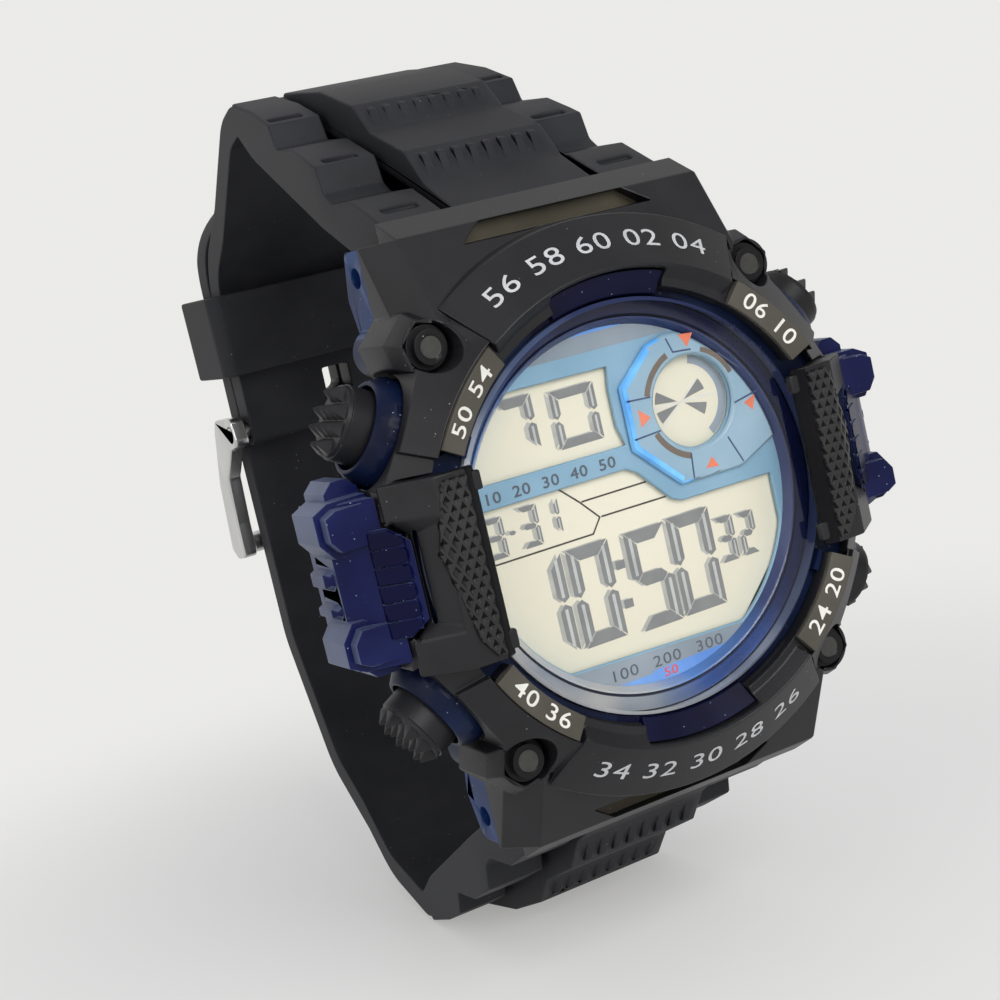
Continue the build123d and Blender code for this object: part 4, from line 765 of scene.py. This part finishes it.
def flat_print(name, outlines, depth, material, slot, thickness=PRINT, chamfer=0.0):
    """Thin flat shape in the dial's plane, from closed outlines of x and z; an inner outline is a hole.

    The depth is that of its back.
    """
    curve = bpy.data.curves.new(name, "CURVE")
    curve.dimensions = "2D"
    curve.fill_mode = "BOTH"
    curve.extrude = (thickness / 2 - chamfer) * MM
    curve.bevel_depth = chamfer * MM
    curve.bevel_resolution = 0
    curve.offset = -chamfer * MM
    for outline in outlines:
        spline = curve.splines.new("POLY")
        spline.points.add(len(outline) - 1)
        for point, (x, z) in zip(spline.points, outline):
            point.co = (x * MM, z * MM, 0, 1)
        spline.use_cyclic_u = True
    only(put(bpy.data.objects.new(name, curve)))
    bpy.ops.object.convert(target="MESH")
    piece = bpy.context.object
    piece.location = place(0, 0, depth - thickness / 2)
    piece.rotation_euler = (pi / 2, 0, 0)
    apply_place(piece)
    tidy_normals(piece)
    return finished(piece, name, "case", slot, material)


def circle(x, z, radius, steps=96):
    """Outline of a circle."""
    turns = [2 * pi * i / steps for i in range(steps)]
    return [(x + radius * cos(turn), z + radius * sin(turn)) for turn in turns]


def within(outline, radius, step=0.5):
    """Keep an outline inside the dial: edges are split and points beyond the radius come back to it."""
    kept = []
    for (x0, z0), (x1, z1) in zip(outline, outline[1:] + outline[:1]):
        count = max(1, int(sqrt((x1 - x0) ** 2 + (z1 - z0) ** 2) / step))
        for i in range(count):
            x = x0 + (x1 - x0) * i / count
            z = z0 + (z1 - z0) * i / count
            reach = sqrt(x * x + z * z)
            share = min(1, radius / reach) if reach > 0 else 1
            kept.append((x * share, z * share))
    return kept


def stroke(x0, z0, x1, z1, width=LINE_WIDTH):
    """Outline of a straight printed line."""
    run = sqrt((x1 - x0) ** 2 + (z1 - z0) ** 2)
    u = (z1 - z0) / run * width / 2
    v = (x0 - x1) / run * width / 2
    return [(x0 + u, z0 + v), (x1 + u, z1 + v), (x1 - u, z1 - v), (x0 - u, z0 - v)]


def ruled(points, width=LINE_WIDTH):
    """Outline of a printed line with corners, from its middle line."""
    left = []
    right = []
    for i, (x, z) in enumerate(points):
        before = points[max(i - 1, 0)]
        after = points[min(i + 1, len(points) - 1)]
        first = Vector((x - before[0], z - before[1])).normalized()
        second = Vector((after[0] - x, after[1] - z)).normalized()
        along = (first + second).normalized()
        across = Vector((-along.y, along.x))
        reach = width / 2 / max(0.4, along.dot(second if i == 0 else first))
        left.append((x + across.x * reach, z + across.y * reach))
        right.append((x - across.x * reach, z - across.y * reach))
    return left + right[::-1]


def arc_bar(x, z, inner, outer, start, end, steps=12):
    """Outline of a curved bar between two angles."""
    turns = [radians(start + (end - start) * i / steps) for i in range(steps + 1)]
    outside = [(x + outer * cos(t), z + outer * sin(t)) for t in turns]
    inside = [(x + inner * cos(t), z + inner * sin(t)) for t in turns]
    return outside + inside[::-1]


# Dial face: a plate with an upper window, a lower window and a round hole
UPPER_WINDOW = [
    (-9.3, 11.3), (-9.3, 11.3), (0.35, 11.15), (0.1, 9.4), (0.1, 6.4), (0.6, 4.75), (-13.6, 4.9),
    (-13.6, 11.3),
]
LOWER_WINDOW = [
    (-14.6, 2.95), (0.0, 2.9), (1.0, 2.4), (3.6, -0.45), (4.5, -0.85), (13.3, -0.9), (13.3, -11.9),
    (8.0, -11.9), (-9.5, -11.3), (-14.6, -11.3),
]
OCTAGON = [
    (0.8, 4.2), (0.8, 9.3), (3.9, 12.0), (5.8, 12.5), (9.0, 12.3), (12.9, 8.6), (14.4, 5.0), (14.4, 2.2),
    (10.6, 0.45), (4.6, 0.45),
]
dial_face = flat_print(
    "dial_face",
    [
        circle(0, 0, DIAL_RADIUS), within(UPPER_WINDOW, WINDOW_REACH), within(LOWER_WINDOW, WINDOW_REACH),
        circle(HOLE_X, HOLE_Z, HOLE_RADIUS),
    ],
    DIAL_DEPTH + DIAL_THICKNESS, dial_blue, "dial_blue", DIAL_THICKNESS, DIAL_CHAMFER,
)
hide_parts("dial_plate")
raised = flat_print(
    "octagon_plate", [within(OCTAGON, OCTAGON_REACH), circle(HOLE_X, HOLE_Z, HOLE_RADIUS)],
    DIAL_DEPTH - BAND_LIFT, ring_blue, "dial_blue", DIAL_DEPTH - RING_DEPTH, OCTAGON_CHAMFER,
)
# The plate's sloped faces on its left side take a bright blue: painted highlight
raised.data.materials.append(ring_edge_highlight)
paint_faces(
    raised, 1,
    lambda centre, normal: normal.y > -0.97 and centre.x < 5.5
    and Vector((centre.x - HOLE_X, centre.y - HOLE_Z)).length > HOLE_RADIUS + 0.3,
)
# A bright blue band along the plate's left side: painted highlight
flat_print(
    "octagon_glow", [ruled([(3.95, 11.6), (1.16, 9.1), (1.16, 4.4), (4.75, 0.86)], GLOW_WIDTH)],
    RING_DEPTH - LIFT, ring_edge_highlight, "dial_blue",
)

# Printed bands above and below the display
for name, outline, lift, ink in (
    ("dial_band_top", [(-9.2, 13.05), (12.0, 13.05), (12.0, 14.05), (-9.2, 14.05)], BAND_LIFT, dial_grey),
    (
        "dial_sky_top", [(-9.0, 14.05), (0, 14.05), (9.0, 14.05), (5.0, 16.0), (-5.0, 16.0)],
        BAND_LIFT, dial_sky,
    ),
    ("dial_band_low", [(-9.2, -11.45), (9.0, -12.05), (9.0, -14.0), (-8.0, -14.0)], BAND_LIFT, dial_grey),
    (
        "dial_sky_low",
        [(-6.4, -13.5), (-1.5, -13.5), (-1.5, -13.3), (5.4, -13.15), (5.4, -16.0), (-6.4, -16.0)],
        OVER_BAND_LIFT, dial_sky,
    ),
):
    flat_print(name, [within(outline, BAND_REACH)], DIAL_DEPTH - lift, ink, "dial_blue")

# Lines on the raised plate, pointers and bars
flat_print(
    "octagon_lines",
    [
        ruled([(5.8, 12.1), (6.2, 10.9), (7.9, 10.75)]), stroke(1.1, 8.1, 3.3, 7.95),
        stroke(1.1, 5.0, 3.6, 5.15), stroke(5.9, 2.7, 5.7, 0.65), stroke(10.3, 9.9, 12.2, 8.1),
        stroke(10.9, 5.6, 14.0, 6.2), stroke(9.6, 3.1, 10.6, 0.8),
    ],
    RING_DEPTH - LIFT, dial_line, "dial_blue",
)
flat_print(
    "octagon_pointers",
    [
        [(7.0, 12.15), (8.35, 12.0), (7.6, 11.0)], [(1.95, 7.25), (2.95, 6.4), (1.95, 5.8)],
        [(12.95, 5.8), (11.8, 5.4), (12.5, 4.6)], [(7.0, 1.15), (8.25, 1.05), (7.7, 1.95)],
    ],
    RING_DEPTH - LIFT, orange_ink, "dial_blue",
)
flat_print(
    "octagon_bars",
    [
        arc_bar(HOLE_X, HOLE_Z, 4.15, 4.65, 112, 162), arc_bar(HOLE_X, HOLE_Z, 4.15, 4.65, 203, 252),
        arc_bar(HOLE_X, HOLE_Z, 3.95, 4.35, 20, 68),
    ],
    RING_DEPTH - LIFT, brown_ink, "dial_blue",
)

# Small round display: four wedges of a slow rotor, and a painted shadow of the window's wall on its right
ROTOR_X = 6.65
ROTOR_Z = 6.75
ROTOR_INNER = 0.35
ROTOR_OUTER = 2.45


def on_rotor(reach, turn):
    """Place on the rotor at a reach from its middle and an angle."""
    return ROTOR_X + reach * cos(radians(turn)), ROTOR_Z + reach * sin(radians(turn))


flat_print(
    "rotor_wedges",
    [
        [on_rotor(ROTOR_INNER, middle)] + [on_rotor(ROTOR_OUTER, middle + turn) for turn in (-12, -5, 5, 12)]
        for middle in (160, 200, 334, 24)
    ],
    DISPLAY_DEPTH - LIFT, segment_grey, "display_cream",
)
flat_print(
    "rotor_lines",
    [
        stroke(*ends, ROTOR_LINE_WIDTH)
        for ends in ((3.75, 6.75, 9.75, 6.75), (4.5, 5.15, 6.5, 6.6), (6.85, 6.92, 8.6, 8.3))
    ],
    DISPLAY_DEPTH - ROTOR_LIFT, label_white, "display_cream",
)
flat_print(
    "rotor_shadow", [arc_bar(HOLE_X, HOLE_Z, 3.0, 3.69, -60, 75, 30)],
    DISPLAY_DEPTH - LIFT, dial_grey, "display_cream",
)

# Ruled lines round the date
flat_print(
    "display_lines",
    [
        ruled([(-5.93, 2.9), (-4.33, 1.4), (-2.88, -0.19), (-3.77, -1.33), (-13.6, -1.33)]),
        stroke(-4.18, 1.4, 1.9, 1.4), stroke(-2.72, -0.19, 3.4, -0.23),
    ],
    DISPLAY_DEPTH - LIFT, segment_line, "display_cream",
)

# Seven-segment digits: which bars are lit, from the top round to the middle
LIT = {"0": "abcdef", "1": "bc", "2": "abged", "3": "abgcd", "5": "afgcd", "7": "abc", "-": "g"}


def digit_bars(glyph, x, z, width, height, bar, gap=0.07):
    """Outlines of one digit's lit bars; x and z are its lower left corner."""
    middle = height / 2
    half = bar / 2
    shapes = {
        "a": [
            (gap, height), (width - gap, height), (width - bar - gap, height - bar),
            (bar + gap, height - bar),
        ],
        "d": [(gap, 0), (bar + gap, bar), (width - bar - gap, bar), (width - gap, 0)],
        "g": [
            (half + gap, middle), (bar + gap, middle + half), (width - bar - gap, middle + half),
            (width - half - gap, middle), (width - bar - gap, middle - half), (bar + gap, middle - half),
        ],
        "f": [
            (0, height - gap), (bar, height - bar - gap), (bar, middle + half + gap), (half, middle + gap),
            (0, middle + half * 0.6 + gap),
        ],
        "e": [
            (0, gap), (0, middle - half * 0.6 - gap), (half, middle - gap), (bar, middle - half - gap),
            (bar, bar + gap),
        ],
    }
    shapes["b"] = [(width - u, v) for u, v in shapes["f"]][::-1]
    shapes["c"] = [(width - u, v) for u, v in shapes["e"]][::-1]
    return [[(x + u, z + v) for u, v in shapes[key]] for key in LIT[glyph]]


READOUT = []
for glyph, x, z, width, height, bar in (
    ("7", -9.8, 6.45, 3.3, 4.3, 0.78), ("0", -4.95, 5.75, 4.05, 4.6, 0.72),
    ("3", -13.0, -0.95, 1.75, 3.2, 0.42), ("-", -11.15, -0.95, 1.1, 3.3, 0.34),
    ("3", -9.85, -0.85, 1.7, 3.25, 0.42), ("1", -7.75, -0.45, 1.5, 2.8, 0.42),
    ("1", -11.2, -9.9, 4.15, 8.0, 1.05), ("0", -6.6, -9.95, 3.9, 8.0, 1.05),
    ("5", -1.25, -10.2, 3.9, 8.1, 1.05), ("0", 2.85, -10.15, 4.1, 8.15, 1.05),
    ("3", 7.3, -7.0, 1.75, 3.75, 0.5), ("2", 9.5, -7.0, 1.6, 3.6, 0.5),
):
    READOUT += digit_bars(glyph, x, z, width, height, bar)
READOUT += [
    [(-2.45, -4.7), (-1.6, -4.7), (-1.6, -4.0), (-2.45, -4.0)],
    [(-2.45, -7.9), (-1.6, -7.9), (-1.6, -7.2), (-2.45, -7.2)],
]
flat_print("display_digits", READOUT, DISPLAY_DEPTH - OVER_BAND_LIFT, segment_grey, "display_cream")

# A painted highlight streak down the middle of each upright bar, and the digits' painted shadows on the glass
# behind
STREAK_LEAST_HEIGHT = 1.2
STREAK_HALF_SHARE = 0.13
SHADOW_X = 0.38
SHADOW_Z = 0.1
streaks = []
for outline in READOUT[:-2]:
    low_x, high_x = min(x for x, z in outline), max(x for x, z in outline)
    low_z, high_z = min(z for x, z in outline), max(z for x, z in outline)
    if high_z - low_z > STREAK_LEAST_HEIGHT:
        middle = (low_x + high_x) / 2
        half = (high_x - low_x) * STREAK_HALF_SHARE
        streaks.append(stroke(middle, low_z + 3 * half, middle, high_z - 3 * half, 2 * half))
flat_print("display_highlight_streaks", streaks, DISPLAY_DEPTH - STREAK_LIFT, segment_highlight, "display_cream")
flat_print(
    "display_shadows", [[(x - SHADOW_X, z + SHADOW_Z) for x, z in outline] for outline in READOUT],
    DISPLAY_DEPTH - BAND_LIFT, segment_shadow, "display_cream", SHADOW_PRINT,
)


def number(text, size, weight):
    """A printed number as a flat mesh, centred, with a little thickness."""
    curve = bpy.data.curves.new("number " + text, "FONT")
    curve.body = text
    curve.align_x = "CENTER"
    curve.align_y = "CENTER"
    curve.size = size * MM
    curve.offset = weight * MM
    curve.extrude = PRINT * MM / 2
    curve.space_character = NUMBER_SPACING
    curve.resolution_u = 4
    only(put(bpy.data.objects.new("number " + text, curve)))
    bpy.ops.object.convert(target="MESH")
    return bpy.context.object


def dial_number(text, x, z, depth, size, weight, stretch):
    """A number laid on the dial."""
    piece = number(text, size, weight)
    piece.scale.x = stretch
    piece.location = place(x, z, depth)
    piece.rotation_euler = (pi / 2, 0, 0)
    apply_place(piece)
    return piece


def wrapped_number(text, size, angle, radius, cone, weight, outward, stretch):
    """A number bent round a cone, its top outward or towards the dial."""
    inner_radius, inner_depth, outer_radius, outer_depth = cone
    slope = (outer_depth - inner_depth) / (outer_radius - inner_radius)
    fall = atan(slope)
    piece = number(text, size, weight)
    sign = 1 if outward else -1
    for vertex in piece.data.vertices:
        u, v, w = vertex.co / MM
        w += PRINT
        reach = radius + sign * v * cos(fall) + w * sin(fall)
        depth = inner_depth + (radius + sign * v * cos(fall) - inner_radius) * slope - w * cos(fall)
        turn = radians(angle) - sign * u * stretch / radius
        vertex.co = place(reach * cos(turn), reach * sin(turn), depth)
    return piece


# Numbers on the arcs, the label plates and the dial
arc_numbers = join([
    wrapped_number(text, ARC_PRINT_SIZE, angle, ARC_PRINT_RADIUS, ARC_CONE, 0.0, outward, WIDE_PRINT)
    for text, angle, outward in (
        ("56", 114, True), ("58", 102, True), ("60", 90, True), ("02", 78, True), ("04", 66, True),
        ("34", 246, False), ("32", 258, False), ("30", 270, False), ("28", 282, False), ("26", 294, False),
    )
])
finished(arc_numbers, "arc_numbers", "case", "label_grey", arc_silver)
plate_numbers = join([
    wrapped_number(
        text, PLATE_PRINT_SIZE, angle, PLATE_PRINT_RADIUS, PLATE_CONE, 0.01, outward, WIDE_PRINT,
    )
    for text, angle, outward in (
        ("06 10", PLATE_MIDDLE, True), ("50 54", 180 - PLATE_MIDDLE, True),
        ("40 36", 180 + PLATE_MIDDLE, False), ("24 20", 360 - PLATE_MIDDLE, False),
    )
])
finished(plate_numbers, "plate_numbers", "case", "label_grey", label_white)
band_numbers = join([
    dial_number(text, x, 3.75, DIAL_DEPTH - NUMBER_LIFT, 1.25, 0.02, 1.2)
    for text, x in (("10", -11.9), ("20", -9.3), ("30", -6.7), ("40", -4.1), ("50", -1.5))
])
finished(band_numbers, "band_numbers", "case", "dial_blue", dial_ink)
low_numbers = join([
    dial_number(text, x, -12.72, DIAL_DEPTH - LOW_NUMBER_LIFT, 1.3, 0.0, WIDE_PRINT)
    for text, x in (("100", -4.1), ("200", 0), ("300", 4.1))
])
finished(low_numbers, "low_numbers", "case", "dial_blue", dial_ink)
red_number = dial_number("50", 0.1, -13.78, DIAL_DEPTH - RED_NUMBER_LIFT, 1.0, 0.02, WIDE_PRINT)
finished(red_number, "red_number", "case", "dial_blue", red_ink)


# Knurl: one sunk diamond, copied over each guard's strip and cut to the strip's outline
def sunk_diamond():
    """One diamond of the knurl, at the origin, its middle sunk."""
    bpy.ops.mesh.primitive_circle_add(vertices=4, radius=MM / 2, fill_type="NGON", rotation=(pi / 2, 0, 0))
    piece = bpy.context.object
    apply_place(piece)
    piece.scale = (KNURL_WIDTH, 1, KNURL_HEIGHT)
    apply_place(piece)
    bpy.ops.object.mode_set(mode="EDIT")
    bpy.ops.mesh.select_mode(type="FACE")
    bpy.ops.mesh.select_all(action="SELECT")
    bpy.ops.mesh.inset(thickness=KNURL_RIDGE * MM)
    bpy.ops.mesh.inset(thickness=KNURL_WALL * MM)
    bpy.ops.transform.translate(value=(0, KNURL_DEPTH * MM, 0))
    bpy.ops.mesh.select_mode(type="VERT")
    bpy.ops.object.mode_set(mode="OBJECT")
    return piece


def cut_away(x, z, across, along):
    """Cut off what lies on the far side of an upright plane, from the piece in edit mode."""
    bpy.ops.mesh.select_all(action="SELECT")
    bpy.ops.mesh.bisect(
        plane_co=place(x, z, 0), plane_no=(across, 0, along), clear_outer=True, threshold=CUT_MERGE,
    )


diamond = sunk_diamond()
for side, sx in (("right", 1), ("left", -1)):
    copies = []
    for row in range(-KNURL_ROWS, KNURL_ROWS + 1):
        for column in range(KNURL_COLUMNS):
            copy = copy_of(diamond)
            x = STRIP_INNER + (column + 0.5 * (row % 2)) * KNURL_WIDTH
            copy.location = place(sx * x, row * KNURL_HEIGHT / 2, STRIP_DEPTH)
            copies.append(copy)
    field = join(copies)
    apply_place(field)
    tidy_normals(field)
    bpy.ops.object.mode_set(mode="EDIT")
    cut_away(sx * STRIP_INNER, 0, -sx, 0)
    cut_away(0, STRIP_HALF, 0, 1)
    cut_away(0, -STRIP_HALF, 0, -1)
    for (x0, z0), (x1, z1) in zip(STRIP_BOW, STRIP_BOW[1:]):
        cut_away(sx * x0, z0, sx * (z0 - z1), x1 - x0)
    bpy.ops.mesh.select_all(action="DESELECT")
    bpy.ops.mesh.select_mode(type="EDGE")
    bpy.ops.mesh.select_non_manifold()
    bpy.ops.mesh.extrude_edges_move(TRANSFORM_OT_translate={"value": (0, STRIP_SINK * MM, 0)})
    bpy.ops.mesh.select_mode(type="VERT")
    bpy.ops.mesh.select_all(action="SELECT")
    bpy.ops.mesh.normals_make_consistent(inside=False)
    bpy.ops.object.mode_set(mode="OBJECT")
    finished(field, "knurl_" + side, "case", "black_cover", knurl_resin, black_gloss_and_shade)
    # Pit floors and the pits' walls that don't face up take the darkest black: painted shade in the knurl
    paint_faces(
        field, 1,
        lambda centre, normal: -0.99 < normal.y < -0.3 and normal.z < 0.1
        or centre.z > STRIP_DEPTH + KNURL_DEPTH * 0.9,
    )
    for vertex in field.data.vertices:
        vertex.co.y += max(0, abs(vertex.co.x) - STRIP_BEND * MM) * STRIP_FALL
    bpy.ops.object.shade_smooth_by_angle(angle=radians(KNURL_SMOOTH))
bpy.data.objects.remove(diamond)

# A small catch at each end of the guards' lips, over the crystal's edge
catches = []
for sx in (1, -1):
    for sz in (1, -1):
        x, z, depth = CATCH_PLACE
        bpy.ops.mesh.primitive_cube_add(size=MM, location=place(sx * x, sz * z, depth))
        catch = bpy.context.object
        catch.scale = CATCH_SIZE
        apply_place(catch)
        bevel(catch, CATCH_EDGE)
        catches.append(catch)
finished(join(catches), "guard_catches", "case", "black_cover", black_resin)

# Ribs of the inserts: one flat pad with rounded inner corners, copied and laid on the slope
PAD_OUTLINE = [
    (2.5, -0.61), (2.5, 0.61), (0.9, 0.61), (0.64, 0.5), (0.52, 0.25), (0.52, -0.25), (0.64, -0.5),
    (0.9, -0.61),
]
END_OUTLINE = [
    (2.5, -0.61), (2.5, 0.61), (1.3, 0.61), (0.64, -0.05), (0.52, -0.25), (0.64, -0.5), (0.9, -0.61),
]
for side, sx in (("right", 1), ("left", -1)):
    last = (RIB_COUNT - 1) / 2
    outlines = [[(x, z + (i - last) * RIB_PITCH) for x, z in PAD_OUTLINE] for i in range(1, RIB_COUNT - 1)]
    outlines += [[(x, sz * (z + last * RIB_PITCH)) for x, z in END_OUTLINE] for sz in (1, -1)]
    pads = flat_print(
        "insert_pads_" + side,
        [[(sx * (x + INSERT_EDGE), z) for x, z in outline] for outline in outlines],
        INSERT_DEPTH + PAD_SINK, navy_insert, "navy_bumper", PAD_THICKNESS, PAD_CHAMFER,
    )
    for vertex in pads.data.vertices:
        vertex.co.y += (abs(vertex.co.x) / MM - INSERT_EDGE) * INSERT_SLOPE * MM
    pads.data.materials.append(navy_frost_and_sheen)
    # The pads' upper and lower faces take the paler navy: painted highlight along the ribs' edges
    paint_faces(pads, 1, lambda centre, normal: abs(normal.z) > 0.8)

# Camera, fitted to the watch in the photograph
camera_data = bpy.data.cameras.new("camera")
camera_data.lens = 66.84
camera_data.sensor_width = 36
camera_data.clip_start = 0.01
camera = put(bpy.data.objects.new("camera", camera_data))
camera.matrix_world = Matrix((
    (0.8643, 0.2663, -0.4267, -0.07159),
    (-0.4500, 0.0304, -0.8925, -0.15857),
    (-0.2247, 0.9634, 0.1461, 0.02419),
    (0, 0, 0, 1),
))
bpy.context.scene.camera = camera


def seen_rays(owner):
    """Rays that look at the backdrop: straight, mirrored or through glass."""
    rays = add_node(owner, "LightPath")
    seen, output = rays, "Is Camera Ray"
    for kind in ("Is Glossy Ray", "Is Transmission Ray"):
        wider = add_node(owner, "Math", "MAXIMUM")
        wire(seen, output, wider, 0)
        wire(rays, kind, wider, 1)
        seen, output = wider, "Value"
    return seen


# Pale floor that fades into the world's tone away from the watch
BACKDROP = (0.83, 0.825, 0.81)
FLOOR_COLOUR = (0.86, 0.855, 0.84)
FLOOR_SIZE = 6
FLOOR_DROP = 0.0003
FADE_START = 0.03
FADE_END = 0.14
FADE_LEAST = 0.4
low_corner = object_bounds()[0]
bpy.ops.mesh.primitive_plane_add(size=FLOOR_SIZE, location=(0, 0, low_corner.z - FLOOR_DROP))
floor = bpy.context.object
floor.name = "floor"
floor_paint, floor_shader, floor_place = new_material("pale floor", FLOOR_COLOUR, 0.9)
reach = add_node(floor_paint, "VectorMath", "LENGTH")
wire(floor_place, "Object", reach, 0)
fade = add_spread(floor_paint, reach, "Value", FADE_START, FADE_END, FADE_LEAST)
fade.interpolation_type = "SMOOTHERSTEP"
share = add_node(floor_paint, "Math", "MULTIPLY")
wire(fade, "Result", share, 0)
wire(seen_rays(floor_paint), "Value", share, 1)
glow = add_node(floor_paint, "Emission")
glow.inputs["Color"].default_value = (*BACKDROP, 1)
mix_surfaces(floor_paint, share, "Value", floor_shader, glow)
floor.data.materials.append(floor_paint)

# World: soft light, and for straight and mirrored looks a backdrop that is darker in front of the watch
SKY_COLOUR = (0.80, 0.82, 0.86)
SKY_STRENGTH = 0.55
DARK_SIDE = -0.6
BRIGHT_SIDE = 0.1
DARK_SIDE_STRENGTH = 0.25
world = bpy.data.worlds.new("studio")
bpy.context.scene.world = world
world.use_nodes = True
lit = world.node_tree.nodes["Background"]
lit.inputs["Color"].default_value = (*SKY_COLOUR, 1)
lit.inputs["Strength"].default_value = SKY_STRENGTH
shown = add_node(world, "Background")
shown.inputs["Color"].default_value = (*BACKDROP, 1)
axes = add_node(world, "SeparateXYZ")
wire(add_node(world, "TexCoord"), "Generated", axes, "Vector")
depth = add_spread(world, axes, "Y", DARK_SIDE, BRIGHT_SIDE, DARK_SIDE_STRENGTH)
bright = add_node(world, "Math", "MAXIMUM")
wire(depth, "Result", bright, 0)
wire(add_node(world, "LightPath"), "Is Camera Ray", bright, 1)
wire(bright, "Value", shown, "Strength")
mix_surfaces(world, seen_rays(world), "Value", lit, shown)

# Lights: name, place and size in metres, power in watts
for name, location, size, power in (
    ("key light", (0.02, -0.58, 0.30), 0.4, 3.0),
    ("fill light", (-0.5, -0.25, 0.2), 0.4, 0.9),
):
    light_data = bpy.data.lights.new(name, "AREA")
    light_data.size = size
    light_data.energy = power
    light = put(bpy.data.objects.new(name, light_data))
    light.location = location
    light.rotation_mode = "QUATERNION"
    light.rotation_quaternion = (Vector((0, -0.01, 0)) - Vector(location)).to_track_quat("-Z", "Y")

bpy.context.scene.view_settings.view_transform = "Standard"
